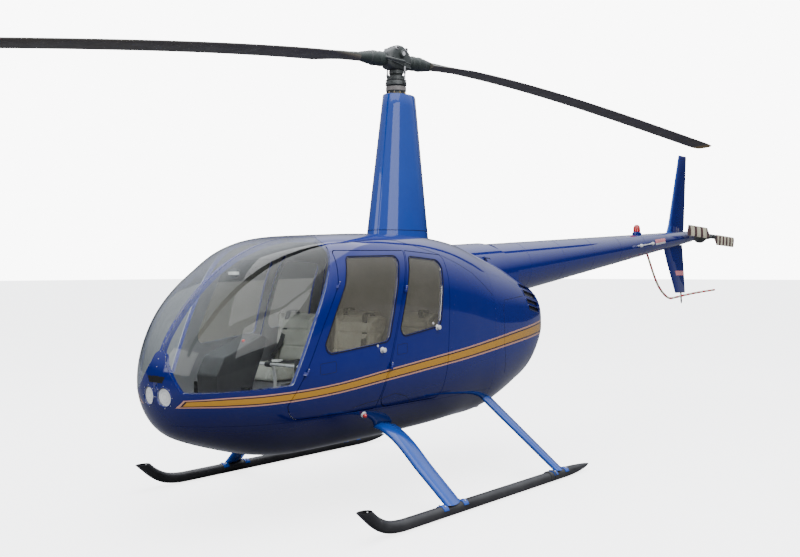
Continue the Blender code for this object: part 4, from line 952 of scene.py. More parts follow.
def finPiece(name, rows, look, lead, up, along, tip=0.014):
    rows = np.array(rows, float)         # leading edge (two numbers), chord and thickness
    last, step = rows[-1].copy(), (rows[-1] - rows[-2]) / np.linalg.norm((rows[-1] - rows[-2])[:2])
    body = straight([[r[0], r[1], 0.0, r[2], r[3]] for r in [*rows[:-1], last - step * tip]], 60)
    tips = []
    for k in range(1, 6):
        share = math.sin(math.pi / 2 * k / 5)
        thin = max(math.cos(math.pi / 2 * k / 5), 0.12)
        row = last - step * tip * (1 - share)
        inset = tip * 0.6 * (1 - thin)
        tips.append([row[0] + inset, row[1], 0.0, row[2] - 2 * inset, row[3] * thin])
    return loft(name, [foilRing(r[3], r[4], lead, along(r[0], r[1], r[3]), up) for r in [*body, *tips]], look)


fins = {"upper": [(4.86, 1.93, 0.50, 0.055), (4.95, 2.10, 0.440, 0.05), (5.234, 2.93, 0.225, 0.024)],
        "lower": [(4.793, 1.86, 0.545, 0.055), (4.90, 1.66, 0.475, 0.05), (5.142, 1.285, 0.285, 0.028)],
        "stabiliser": [(4.89, -0.05, 0.40, 0.035), (4.89, -0.95, 0.40, 0.035)], "stabiliserZ": 1.905,
        "skid": [(0.0, 5.300, 1.330), (0.0, 5.306, 1.280), (0.0, 5.316, 1.190), (0.0, 5.319, 1.156)]}
upright = {"lead": (0, -1, 0), "up": (1, 0, 0), "along": lambda y, z, chord: (0.0, y + chord / 4, z)}
upperFin = finPiece("upperFin", fins["upper"], "plain", **upright)
settle(paintFaces(upperFin, "strut", lambda p, n: p.y < np.interp(p.z, (2.10, 2.93), (4.973, 5.250))),
       stands=("upper_fin",))
lowerFin = finPiece("lowerFin", fins["lower"], "plain", **upright)
paintFaces(lowerFin, "bandPink", lambda p, n: 1.492 < p.z < 1.548 and p.y > 5.105)
tailSkid = tube("tailSkid", through(fins["skid"], 12), [0.010] * 10 + [0.0085, 0.004], "rubber", 14, (1.0, 0.0, 0.0))
settle(joined([lowerFin, tailSkid], "lowerFinWithSkid"), stands=("lower_fin",))
stabiliser = finPiece("stabiliser", fins["stabiliser"], "plain", (0, -1, 0), (0, 0, 1),
                      lambda y, x, chord: (x, y + chord / 4, fins["stabiliserZ"]))
settle(stabiliser, stands=("stabiliser_starboard",))
guard = [(4.300, 1.770), (4.421, 1.605), (4.500, 1.500), (4.581, 1.411), (4.660, 1.345), (4.744, 1.294),
         (4.910, 1.232), (5.100, 1.236), (5.280, 1.250), (5.580, 1.270), (5.890, 1.286), (6.320, 1.304)]
line = through([(0.0232, y, z) for y, z in guard], 170)
guardRun = np.concatenate([[0.0], np.cumsum(np.linalg.norm(np.diff(line, axis=0), axis=1))])
guardTube = tube("tailGuard", line, [0.0125] * 167 + [0.0122, 0.010, 0.004], "creamPaint", 14, (1.0, 0.0, 0.0))
paintFaces(guardTube, "bandRed", lambda p, n: np.interp(p.y, line[:, 1], guardRun) % 0.166 < 0.083)
settle(guardTube, stands=("tail_guard",))
# antenna bar on two posts and a blank placard on the port side of the boom
pieces = []
for y in (3.860, 4.172):
    start, end = boomPoint(y, 5.5, -0.002), boomPoint(y, 5.5, 0.030)
    pieces.append(rod("post", start, end, 0.0075, "white", 14))
    ball = [(0.003, -0.019), (0.012, -0.016), (0.019, -0.007), (0.019, 0.007), (0.012, 0.016), (0.003, 0.019)]
    pieces.append(turned("ball", (end[0] + 0.010, 0.0, end[2]), [(r, y + a) for r, a in ball], "white", "Y", 24))
first, last = boomPoint(3.860, 5.5, 0.040), boomPoint(4.172, 5.5, 0.040)
pieces.append(rod("bar", first, last, 0.006, "white", 14))
settle(joined(pieces, "antennaBar"))
plate = [[boomPoint(y, t, out) for y, out in ((4.352, -0.001), (4.352, 0.0009), (4.632, 0.0009), (4.632, -0.001))]
         for t in np.linspace(-7.0, 25.0, 14)]
settle(paintFaces(loft("tailPlacard", plate, "white"), "bandPink", lambda p, n: p.z > boomZ(p.y) + 0.004))
beacon = [(0.050, 1.900), (0.050, 1.968), (0.047, 1.972), (0.040, 1.974), (0.040, 1.982)]
domed = [(0.038, 1.976), (0.038, 1.990), (0.037, 2.020), (0.034, 2.036), (0.027, 2.050), (0.016, 2.058), (0.002, 2.060)]
settle(turned("beaconBase", (0.0, 4.11, 0.0), beacon, "plain"))
settle(turned("beaconDome", (0.0, 4.11, 0.0), domed, "redLens"), stands=("beacon",))

# Tail gearbox and tail rotor
gearbox = [(0.058, 0.0), (0.058, 0.012), (0.050, 0.016), (0.045, 0.022), (0.045, 0.255), (0.050, 0.262), (0.066, 0.275),
           (0.066, 0.287), (0.070, 0.290), (0.072, 0.333), (0.070, 0.350), (0.060, 0.385), (0.045, 0.398), (0.030, 0.405)]
pieces = [turned("case", (0.0, 5.560, 1.966), gearbox, "metal", "Y"),
          turned("boss", (0.0, 5.893, 1.972), [(0.044, 0.0), (0.044, 0.068), (0.040, 0.074), (0.034, 0.076),
                                                (0.034, 0.105)], "metal", "X", 32)]
for k in range(8):
    t = 2 * math.pi * k / 8
    place = (0.053 * math.cos(t), 5.571, 1.966 + 0.053 * math.sin(t))
    pieces.append(rod("bolt", place, (place[0], 5.579, place[2]), 0.0045, "alloy", 6))
settle(joined(pieces, "tailGearbox"), stands=("tail_gearbox",))
tailBlade = {"radius": 0.737, "chord": 0.130, "thick": 0.016,
             "shape": [(0.130, 0.50), (0.165, 0.62), (0.200, 1.0), (0.600, 1.0), (0.970, 1.0), (0.990, 0.96), (1.0, 0.85)],
             "bands": {1: (0.114, 0.055), -1: (0.185, 0.075)}}
pieces = [rod("spindle", (-0.0447, 0.0, 0.0), (0.045, 0.0, 0.0), 0.016, "metal", 24, matrix=tailTurn),
          softBlock("yoke", (-0.016, -0.095, -0.026), (0.016, 0.095, 0.026), 0.005, "metal", matrix=tailTurn),
          turned("slider", (0.0, 0.0, 0.0), [(0.028, -0.040), (0.030, -0.036), (0.030, -0.024), (0.028, -0.020)],
                 "metal", "X", 28, matrix=tailTurn)]
for sign in (1, -1):
    pieces.append(rod("tailLink", (-0.030, sign * 0.026, 0.0), (-0.012, sign * 0.118, 0.030), 0.0045, "alloy", 10,
                      matrix=tailTurn))
    pieces.append(rod("tailPin", (-0.022, sign * 0.070, 0.0), (0.022, sign * 0.070, 0.0), 0.007, "alloy", 6,
                      matrix=tailTurn))
settle(joined(pieces, "tailHub"), "tail_rotor", ("tail_rotor_hub",))
for name, node_, sign in (("tailBladeAft", "tail_blade_aft", 1), ("tailBladeForward", "tail_blade_forward", -1)):
    shares, chords = zip(*tailBlade["shape"])
    rings = []
    for share in np.unique(np.concatenate([np.linspace(0.130, 1.0, 130), shares])):
        chord = tailBlade["chord"] * np.interp(share, shares, chords)
        rings.append(foilRing(chord, tailBlade["thick"], (0, 0, float(sign)),
                              (0.0, sign * share * tailBlade["radius"], 0.0), (1, 0, 0)))
    made = loft(name, moved(rings, tailTurn), "creamPaint")
    period, dark = tailBlade["bands"][sign]
    paintFaces(made, "bandBrown", lambda p, n: (tailBlade["radius"] - abs(p.y - 5.893)) % period < dark)
    settle(made, "tail_rotor", (node_,))
print("tail made")

# Mast fairing: height, reach forward and aft of the datum, half width
mast = {"rows": [(1.700, 0.345, 0.330, 0.222), (1.740, 0.325, 0.306, 0.203), (1.830, 0.312, 0.295, 0.195),
                 (2.900, 0.153, 0.165, 0.105)], "pinch": 0.35, "wall": 0.010, "sides": 120, "seam": 58.0,
        "tube": [(0.062, 1.70), (0.062, 2.900), (0.068, 2.904), (0.068, 2.918), (0.074, 2.922), (0.077, 2.928),
                 (0.077, 2.961), (0.0765, 2.9628), (0.0495, 2.963), (0.0495, 2.900)]}


def mastPoint(z, degrees, out=0.0):      # 0 is port, 90 is aft
    front, aft, half = (float(np.interp(z, [r[0] for r in mast["rows"]], [r[c] for r in mast["rows"]]))
                        for c in (1, 2, 3))
    t = math.radians(degrees)
    s = math.sin(t)
    reach, pinch = (aft, 1.0 - mast["pinch"] * s * s) if s > 0.0 else (front, 1.0)
    return ((half + out) * math.cos(t) * pinch, (reach + out) * s, z)


turns = np.linspace(0.0, 360.0, mast["sides"], endpoint=False)
levels = [(z, 0.0) for z in (1.700, 1.740, 1.770, 1.800, 1.830, *np.linspace(1.95, 2.895, 12))]
levels += [(2.8985, -0.0015), (2.900, -0.004), (2.900, -mast["wall"]), (2.860, -mast["wall"] - 0.001)]
mastShell = loft("mastFairing", [[mastPoint(z, t, out) for t in turns] for z, out in levels], "mast")
# painted shade: the cap closing the fairing below its top opening is black, standing in for the dark space inside
paintFaces(mastShell, "black", lambda p, n: n.z > 0.9 and p.z < 2.88)
pieces = [mastShell]
for degrees, low, high in ((mast["seam"], 1.86, 2.895), (180.0 - mast["seam"], 1.86, 2.895)):
    line = [mastPoint(z, degrees, -0.0008) for z in np.linspace(low, high, 16)]
    pieces.append(tube("seam", line, 0.0035, "rubber", 8, (0.0, 1.0, 0.0)))
    line = [mastPoint(z, degrees + (5.0 if degrees < 90 else -5.0), -0.0035) for z in np.linspace(low, high, 16)]
    pieces.append(tube("lip", line, 0.0055, "mast", 8, (0.0, 1.0, 0.0)))
line = [mastPoint(1.862, t, -0.0010) for t in np.linspace(0.0, 360.0, 97)]
pieces.append(tube("hem", line, 0.0028, "rubber", 8))
settle(joined(pieces, "mastShell"), stands=("mast_fairing",))
pieces = [turned("tube", (0.0, -0.040, 0.0), mast["tube"], "metal"),
          turned("collar", (0.0, -0.040, 0.0), [(0.0770, 2.929), (0.0785, 2.931), (0.0785, 2.958), (0.0770, 2.960)],
                 "cast", "Z", 48)]
for k in range(10):
    t = 2 * math.pi * (k + 0.3) / 10
    x, y = 0.0715 * math.cos(t), -0.040 + 0.0715 * math.sin(t)
    pieces.append(rod("stud", (x, y, 2.896), (x, y, 2.925), 0.0030, "alloy", 8))
    pieces.append(rod("nut", (x, y, 2.906), (x, y, 2.918), 0.0055, "brass", 6))
settle(joined(pieces, "mastTube"), stands=("mast_tube",))

# Boom fairing: the boom's cone carried forward, with sides that run down to the cowling
saddle = {"front": 0.455, "edge": [(1.030, 1.800), (1.140, 1.725), (1.250, 1.640), (1.300, 1.560), (1.310, 1.300)],
          "out": 0.012, "wall": 0.020, "scoop": ((0.700, 0.838), (1.572, 1.668), 0.016),
          "inlet": [(0.836, 1.579), (0.911, 1.566), (0.896, 1.661), (0.828, 1.667)]}


def saddlePoint(share, side, out):        # share 0 is the crest, 1 the foot
    turn = share * 1.6
    def at(y):
        r = boomR(y) + saddle["out"] + out
        if turn <= 1.0:
            t = math.radians(90.0 * (1.0 - turn))
            return r * math.cos(t), boomZ(y) + r * math.sin(t)
        drop = (turn - 1.0) / 0.6
        return r * (1.0 - 0.02 * drop), boomZ(y) - 0.36 * drop
    end = 1.2
    for _ in range(12):
        z = at(end)[1]
        end = float(np.interp(-z, [-p[1] for p in saddle["edge"]], [p[0] for p in saddle["edge"]]))
    points = []
    for y in np.concatenate([np.linspace(saddle["front"], end, 70)]):
        x, z = at(y)
        (first, last), (low, high), depth = saddle["scoop"]
        if out == 0.0 and first < y < last and low < z < high:
            across = math.sin(math.pi * (z - low) / (high - low)) ** 0.5
            x -= depth * (y - first) / (last - first) * across
        points.append((side * x, y, z))
    return points


shares = np.linspace(0.0, 1.0, 60)
lines = [saddlePoint(s, -1.0, 0.0) for s in shares[:0:-1]] + [saddlePoint(s, 1.0, 0.0) for s in shares]
inner = [saddlePoint(s, -1.0, -saddle["wall"]) for s in shares[:0:-1]]
inner += [saddlePoint(s, 1.0, -saddle["wall"]) for s in shares]
lengthwise = [outerLine + innerLine[::-1] for outerLine, innerLine in zip(lines, inner)]
saddleShell = loft("boomFairing", lengthwise, "plain")
pieces = [saddleShell]
# the inlet is a black block whose face sits just proud of the skin: painted shade in place of the opening
for side in (1.0, -1.0):
    rows = []
    for out in (-0.022, 0.0012):
        row = []
        for y, z in saddle["inlet"]:
            r = boomR(y) + saddle["out"]
            x = math.sqrt(max(r * r - max(z - boomZ(y), 0.0) ** 2, 0.0))
            row.append((side * (x + out), y, z))
        rows.append(row)
    pieces.append(loft("inlet", rows, "rubber"))
    lip = [(x + side * 0.0005, y, z) for x, y, z in rows[1] + rows[1][:1]]
    pieces.append(tube("lip", straight(lip, 30), 0.0022, "plain", 8, (float(side), 0.0, 0.0)))
settle(joined(pieces, "boomFairing"), stands=("boom_fairing",))
print("mast and fairing made")

# Main rotor, built with the blades along Y and turned with the hub
blade = {"radius": 5.029, "chord": 0.258, "droop": 0.456, "teeter": 0.05, "pitch": (6.0, -6.0), "tipBand": 0.968,
         "rows": [(0.070, 0.40, 0.62), (0.100, 0.62, 0.32), (0.135, 0.98, 0.12), (0.250, 1.0, 0.10), (0.955, 1.0, 0.10),
                  (0.985, 0.92, 0.10), (1.000, 0.60, 0.10)],
         "boot": [(0.1256, 0.040), (0.132, 0.045), (0.148, 0.046), (0.153, 0.052), (0.165, 0.0565), (0.185, 0.057),
                  (0.204, 0.054), (0.212, 0.050), (0.220, 0.054), (0.240, 0.057), (0.260, 0.0565), (0.272, 0.052),
                  (0.285, 0.050), (0.330, 0.044), (0.380, 0.036), (0.420, 0.020)]}


def bladeHeight(share, sign):
    bend = share * share * (6.0 - 4.0 * share + share * share) / 3.0
    return -blade["droop"] * bend + blade["teeter"] * blade["radius"] * share * sign


stations = np.unique(np.concatenate([np.linspace(0.070, 0.150, 14), np.linspace(0.150, 0.955, 70),
                                     [blade["tipBand"]], np.linspace(0.955, 1.0, 12)]))
shareRow, chordRow, thickRow = (np.array(column) for column in zip(*blade["rows"]))
for name, stands, sign in (("rotorBladeAft", "rotor_blade_aft", 1), ("rotorBladeForward", "rotor_blade_forward", -1)):
    rings = []
    for share in stations:
        chord = blade["chord"] * np.interp(share, shareRow, chordRow)
        thick = chord * np.interp(share, shareRow, thickRow)
        pitch = math.radians(blade["pitch"][0] + blade["pitch"][1] * share)
        rings.append(foilRing(chord, thick, (-sign * math.cos(pitch), 0.0, math.sin(pitch)),
                              (0.0, sign * share * blade["radius"], bladeHeight(share, sign)),
                              (sign * math.sin(pitch), 0.0, math.cos(pitch)), 16))
    surface = loft("surface", moved(rings, rotorTurn), "bladeTop")
    paintFaces(surface, "bladeUnder", lambda p, n: n.z < 0.0)
    reachTip = (blade["tipBand"] * blade["radius"]) ** 2
    paintFaces(surface, "bladeTip", lambda p, n: p.x ** 2 + (p.y + 0.040) ** 2 > reachTip)
    line = [(0.0, sign * y, bladeHeight(y / blade["radius"], sign)) for y, r in blade["boot"]]
    bootPiece = tube("boot", line, [r for y, r in blade["boot"]], "boot", 36, matrix=rotorTurn)
    horn = through([(-sign * 0.040, sign * 0.170, 0.0), (-sign * 0.074, sign * 0.146, -0.010),
                    (-sign * 0.092, sign * 0.105, -0.018), (-sign * 0.092, -sign * 0.008, -0.018)], 14)
    hornPiece = tube("horn", horn, [0.011] * 12 + [0.0105, 0.006], "metal", 16, matrix=rotorTurn)
    clamps = [turned("clamp", (0.0, 0.0, bladeHeight(0.055, sign)),
                     [(0.0475, sign * 0.286), (0.0505, sign * 0.289), (0.0505, sign * 0.297), (0.0475, sign * 0.300)],
                     "metal", "Y", 36, matrix=rotorTurn)]
    pieces = [surface, bootPiece, hornPiece, *clamps]
    settle(joined(pieces, name), "main_rotor", (stands,))

hub = {"rows": [(-0.125, 0.036, -0.044, 0.036), (-0.121, 0.040, -0.048, 0.044), (-0.095, 0.056, -0.066, 0.070),
                (-0.045, 0.062, -0.074, 0.103), (-0.022, 0.0625, -0.074, 0.1145), (0.0, 0.0625, -0.074, 0.1148)],
       "bolts": 0.050, "boltZ": 0.084}
rows = np.array(hub["rows"] + [(-y, w, a, b) for y, w, a, b in hub["rows"][-2::-1]])
rings = []
for y in np.unique(np.concatenate([np.linspace(-0.125, 0.125, 51), rows[:, 0]])):
    half, low, high = (float(hermite(rows[:, 0], rows[:, c], np.array([y]), (None, None))[0]) for c in (1, 2, 3))
    ring = []
    for t in np.linspace(0.0, 2 * math.pi, 48, endpoint=False):
        c, s = math.cos(t), math.sin(t)
        ring.append((half * math.copysign(abs(c) ** 0.36, c), y,
                     (low + high) / 2 + (high - low) / 2 * math.copysign(abs(s) ** 0.42, s)))
    rings.append(ring)
pieces = [loft("hubBody", moved(rings, rotorTurn), "metal")]
for side in (1.0, -1.0):
    for y, z, radius in ((-hub["bolts"], hub["boltZ"], 0.014), (hub["bolts"], hub["boltZ"], 0.014), (0.0, 0.045, 0.028)):
        start, end = (side * 0.050, y, z), (side * (0.068 if radius < 0.02 else 0.084), y, z)
        pieces.append(rod("boss", start, end, radius, "alloy" if radius < 0.02 else "metal", 28, matrix=rotorTurn))
        # on the small bosses a black disc stands for the bolt bore: painted shade in place of the hole; the large boss
        # gets a hex nut
        cap = (end[0] + side * 0.0008, y, z)
        pieces.append(rod("socket", (side * 0.06, y, z), cap, radius * 0.76, "rubber" if radius < 0.02 else "alloy",
                          20 if radius < 0.02 else 6, matrix=rotorTurn))
    ridge = [(side * 0.0625, y, z) for y, z in ((-0.100, 0.010), (-0.060, 0.004), (0.0, -0.006), (0.060, -0.016),
                                                (0.100, -0.018))]
    pieces.append(tube("ridge", through(ridge, 20), 0.0045, "metal", 10, matrix=rotorTurn))
    ridge = [(x, y, z - 0.034) for x, y, z in ridge]
    pieces.append(tube("ridge", through(ridge, 20), 0.0045, "metal", 10, matrix=rotorTurn))
settle(joined(pieces, "rotorHub"), "main_rotor", ("rotor_hub",))
plate = [(0.0425, -0.192), (0.078, -0.192), (0.081, -0.188), (0.081, -0.166), (0.079, -0.162), (0.074, -0.160),
         (0.074, -0.155), (0.079, -0.153), (0.081, -0.151), (0.079, -0.149), (0.070, -0.1485), (0.070, -0.122),
         (0.066, -0.118), (0.0425, -0.118)]
pieces = [turned("plates", (0.0, 0.0, 0.0), plate, "metal", "Z", 48, matrix=rotorTurn)]
for sign in (1.0, -1.0):
    pieces.append(rod("foot", (sign * 0.060, 0.0, -0.177), (sign * 0.096, 0.0, -0.177), 0.010, "metal", 16,
                      matrix=rotorTurn))
    pieces.append(rod("link", (sign * 0.092, 0.0, -0.166), (sign * 0.092, 0.0, -0.030), 0.006, "alloy", 16,
                      matrix=rotorTurn))
    for z in (-0.170, -0.100, -0.042):
        pieces.append(rod("end", (sign * 0.092, 0.0, z - 0.011), (sign * 0.092, 0.0, z + 0.011), 0.0088, "metal", 6,
                          matrix=rotorTurn))
    pieces.append(rod("ball", (sign * 0.080, 0.0, -0.100), (sign * 0.101, 0.0, -0.100), 0.0065, "chrome", 16,
                      matrix=rotorTurn))
for k in range(10):
    t = 2 * math.pi * (k + 0.5) / 10
    place = (0.0735 * math.cos(t), 0.0735 * math.sin(t), -0.187)
    pieces.append(rod("bolt", place, (place[0], place[1], -0.180), 0.004, "brass", 6, matrix=rotorTurn))
settle(joined(pieces, "swashplateWithLinks"), "main_rotor", ("swashplate",))
print("rotor made")

# Skids and struts
skid = {"x": 1.054, "toeTop": 0.185, "wall": 0.004,
        "path": [(-1.584, 0.172, 0.037), (-1.515, 0.115, 0.037), (-1.464, 0.084, 0.038), (-1.406, 0.060, 0.038),
                 (-1.340, 0.046, 0.038), (-1.273, 0.0395, 0.038), (-1.174, 0.038, 0.038), (0.700, 0.038, 0.038),
                 (0.800, 0.038, 0.034), (0.900, 0.039, 0.026), (0.980, 0.041, 0.017), (1.035, 0.044, 0.006)]}


def skidPieces():
    path = skid["path"]
    bend, level, tail = (np.array(part, float) for part in (path[:7], path[6:8], path[7:]))
    front = through([(skid["x"], *p[:2], p[2]) for p in bend], 40)
    flat = straight([(skid["x"], *p[:2], p[2]) for p in level], 14)
    aft = through([(skid["x"], *p[:2], p[2]) for p in tail], 22)
    whole = np.concatenate([front[:-1], flat[:-1], aft])
    rings = tubeRings(whole, whole[:, 3], 32, (1.0, 0.0, 0.0))
    way = np.array(rings[1]).mean(0) - np.array(rings[0]).mean(0)
    toe = []
    for point in rings[0]:
        toe.append(point - way * ((point[2] - skid["toeTop"]) / way[2]))
    centre = np.array(toe).mean(0)
    lip = [p + (centre - p) * 0.10 for p in map(np.array, toe)]
    deep = [p + way / np.linalg.norm(way) * 0.060 for p in lip]
    keepFrom = next(i for i, ring in enumerate(rings) if max(p[2] for p in ring) < skid["toeTop"] - 0.004)
    tubePiece = loft("tube", [deep, lip, toe] + rings[keepFrom:], "skid")
    made = [tubePiece, rod("screw", (1.054, -1.572, 0.176), (1.054, -1.572, 0.181), 0.005, "chrome", 8)]
    for y in (0.430, 0.482):
        made.append(turned("collar", (skid["x"], 0.0, 0.0418),
                           [(0.038, y - 0.012), (0.0415, y - 0.010), (0.0415, y + 0.010), (0.038, y + 0.012)],
                           "skid", "Y", 32))
    return made


def strutPieces(which, stations, thick):
    stations = np.array(stations, float)
    line = through([(x, y, z, chord) for x, y, z, chord in stations], 44)
    along = np.gradient(line[:, :3], axis=0)
    rings = []
    for (x, y, z, chord), way in zip(line, along):
        way = way / np.linalg.norm(way)
        out = np.cross(way, (0.0, -1.0, 0.0))
        out /= np.linalg.norm(out)
        fore = np.cross(way, out)
        fore = -fore if fore[1] > 0.0 else fore
        rings.append(foilRing(chord, thick, fore, np.array((x, y, z)) + fore * chord * 0.25, out, 16))
    low = struts["low"]
    first = next(i for i, ring in enumerate(rings) if min(p[2] for p in ring) > low)
    bottom = []
    for p, q in zip(rings[first], rings[first + 1]):
        p, q = np.array(p), np.array(q)
        bottom.append(tuple(p - (q - p) * ((p[2] - low) / (q[2] - p[2]))))
    made = [loft("leg", [bottom] + rings[first:], "strut")]
    x, y, z, chord = stations[0]
    for side in (-1.0, 1.0):        # saddle with its bolts over the tube
        spot = y + side * (chord * 0.5 + 0.030)
        arc = [[(skid["x"] + (0.038 + out) * math.sin(t), spot + run, 0.038 + (0.038 + out) * math.cos(t))
                for t in np.linspace(-1.25, 1.25, 18)] for run, out in ((-0.024, 0.0002), (-0.023, 0.0045),
                                                                        (0.023, 0.0045), (0.024, 0.0002))]
        rowsOf = [list(column) for column in zip(*arc)]
        made.append(loft("saddle", rowsOf, "strut"))
        for t in (-0.55, 0.55):
            foot = (skid["x"] + 0.041 * math.sin(t), spot, 0.038 + 0.041 * math.cos(t))
            head = (skid["x"] + 0.049 * math.sin(t), spot, 0.038 + 0.049 * math.cos(t))
            made.append(rod("bolt", foot, head, 0.006, "alloy", 6))
    return made


struts = {"low": 0.0765, "rows": {
    "front": ([(1.098, -0.754, 0.045, 0.152), (0.860, -0.772, 0.262, 0.162), (0.620, -0.790, 0.478, 0.172),
               (0.545, -0.794, 0.517, 0.177), (0.400, -0.800, 0.530, 0.182)], 0.048),
    "aft": ([(1.102, 0.571, 0.045, 0.098), (0.801, 0.5255, 0.2985, 0.108), (0.500, 0.480, 0.552, 0.118),
             (0.400, 0.462, 0.640, 0.118)], 0.040)}}
skidPort = joined(skidPieces(), "skidPort")
settle(mirroredPiece(skidPort, "skidStarboard"), stands=("skid_starboard",))
settle(skidPort, stands=("skid_port",))
for which, (stations, thick) in struts["rows"].items():
    legPort = joined(strutPieces(which, stations, thick), which + "StrutPort")
    settle(mirroredPiece(legPort, which + "StrutStarboard"), stands=("strut_%s_starboard" % which,))
    settle(legPort, stands=("strut_%s_port" % which,))
print("gear made")

# Padded seats, blown up as cloth from slightly smaller shapes; side-view outlines as station and height
seats = {"x": 0.285, "voxel": 0.008, "pressure": 4.0, "frames": 20, "cap": 0.024, "bolster": 0.070, "rows": {
    "front": {"half": 0.203, "cushion": [(-1.252, 0.812), (-0.880, 0.812), (-0.885, 0.888), (-1.235, 0.884)],
              "back": [(-0.875, 0.868), (-0.786, 0.858), (-0.733, 1.238), (-0.752, 1.252), (-0.806, 1.250)],
              "seams": (1.020, 1.140)},
    "rear": {"half": 0.213, "cushion": [(-0.572, 0.812), (-0.222, 0.812), (-0.226, 0.888), (-0.555, 0.884)],
             "back": [(-0.218, 0.868), (-0.138, 0.858), (-0.138, 1.240), (-0.150, 1.252), (-0.206, 1.250)],
             "seams": (1.020, 1.140)}}}


def inflated(piece, pinned):        # voxel remesh, then cloth under pressure, its movement capped
    remesh = piece.modifiers.new("voxels", "REMESH")
    remesh.mode, remesh.voxel_size, remesh.use_smooth_shade = "VOXEL", seats["voxel"], True
    graph = bpy.context.evaluated_depsgraph_get()
    mesh = bpy.data.meshes.new_from_object(piece.evaluated_get(graph))
    piece.modifiers.remove(remesh)
    piece.data = mesh
    rest = np.array([tuple(v.co) for v in mesh.vertices])
    group = piece.vertex_groups.new(name="held")
    held = [int(i) for i in np.nonzero(pinned(rest))[0]]
    group.add(held, 1.0, "REPLACE")
    cloth = piece.modifiers.new("padding", "CLOTH")
    settings = cloth.settings
    settings.quality, settings.mass = 5, 0.3
    settings.tension_stiffness = settings.compression_stiffness = 12.0
    settings.bending_stiffness = 0.5
    settings.use_pressure, settings.uniform_pressure_force = True, seats["pressure"]
    settings.effector_weights.gravity = 0.0
    settings.vertex_group_mass = "held"
    cloth.point_cache.frame_start, cloth.point_cache.frame_end = 1, seats["frames"]
    for step in range(1, seats["frames"] + 1):
        bpy.context.scene.frame_set(step)
    graph = bpy.context.evaluated_depsgraph_get()
    swollen = bpy.data.meshes.new_from_object(piece.evaluated_get(graph))
    places = np.array([tuple(v.co) for v in swollen.vertices])
    bpy.context.scene.frame_set(1)
    piece.modifiers.remove(cloth)
    piece.vertex_groups.clear()
    shift = places - rest
    length = np.linalg.norm(shift, axis=1, keepdims=True)
    rest = rest + shift * np.minimum(1.0, seats["cap"] / np.maximum(length, 1e-9))
    mesh.vertices.foreach_set("co", rest.ravel())
    mesh.update()
    finer = piece.modifiers.new("finer", "SUBSURF")
    finer.levels = finer.render_levels = 1
    graph = bpy.context.evaluated_depsgraph_get()
    made = bpy.data.meshes.new_from_object(piece.evaluated_get(graph))
    piece.modifiers.remove(finer)
    piece.data = made
    return piece


def sewn(piece, facing, lines, low, high):       # seams pressed in and small folds, on the side that faces the sitter
    mesh = piece.data
    places = np.array([tuple(v.co) for v in mesh.vertices]) - (0.0, datumY, 0.0)
    normals = np.array([tuple(v.normal) for v in mesh.vertices])
    shown = np.clip((normals @ np.array(facing) - 0.15) / 0.5, 0.0, 1.0)
    depth = np.zeros(len(places))
    for axis, at in lines:
        depth += 0.0075 * np.exp(-((places[:, axis] - at) / 0.0065) ** 2)
    edge = np.clip(np.abs(places[:, 0] - seats["x"]) - (high - seats["bolster"]), 0.0, seats["bolster"]) / seats["bolster"]
    lift = 0.010 * np.sin(math.pi * np.clip(edge, 0.0, 1.0)) * shown
    folds = np.array([noiseAt(Vector(p) * 9.0) for p in places]) * 0.0022
    fine = np.array([noiseAt(Vector((p[0] * 30.0, p[1] * 14.0, p[2] * 14.0))) for p in places]) * 0.0008
    places += normals * ((lift + folds + fine - depth * shown)[:, None])
    mesh.vertices.foreach_set("co", (places + (0.0, datumY, 0.0)).ravel())
    mesh.update()
    mesh.materials.clear()
    mesh.materials.append(looks["leather"])
    mesh.shade_smooth()
    return piece


for which, shape in seats["rows"].items():
    half, x = shape["half"], seats["x"]
    sides = [(0, x - half + seats["bolster"]), (0, x + half - seats["bolster"])]
    for part, outline in (("Cushion", shape["cushion"]), ("Back", shape["back"])):
        facing = (0.0, 0.0, 1.0) if part == "Cushion" else (0.0, -1.0, 0.0)
        rear = max(p[0] for p in outline) - 0.012 + datumY
        held = (lambda p: p[:, 2] < 0.816) if part == "Cushion" else (lambda p: p[:, 1] > rear)
        pad = softPrism(which + part, outline, x - half, x + half, 0.022, "leather")
        lines = sides + ([(1, outline[0][0] + 0.13)] if part == "Cushion" else [(2, z) for z in shape["seams"]])
        pad = sewn(inflated(pad, held), facing, lines, 0.0, half)
        pad.name = which + part + "Port"
        twin = mirroredPiece(pad, which + part + "Starboard")
        for piece, side in ((pad, "port"), (twin, "starboard")):
            settle(piece, stands=("%s_seat_%s" % (which, side),) if part == "Cushion" else ())
    print(which, "seats padded")

# Belts: shoulder strap down the back, lap strap over the cushion, buckle
belts = {"width": 0.046, "thick": 0.0016}


def strap(name, line, across):
    line = through(line, 40)
    along = np.gradient(line, axis=0)
    along /= np.linalg.norm(along, axis=1, keepdims=True)
    rings = []
    for place, way in zip(line, along):
        side = np.array(across, float) - way * np.dot(across, way)
        side /= np.linalg.norm(side)
        up = np.cross(way, side)
        w, t = belts["width"] / 2, belts["thick"] / 2
        rings.append([place + side * a + up * b for a, b in ((-w, -t), (w, -t), (w, t), (-w, t))])
    return loft(name, rings, "webbing")


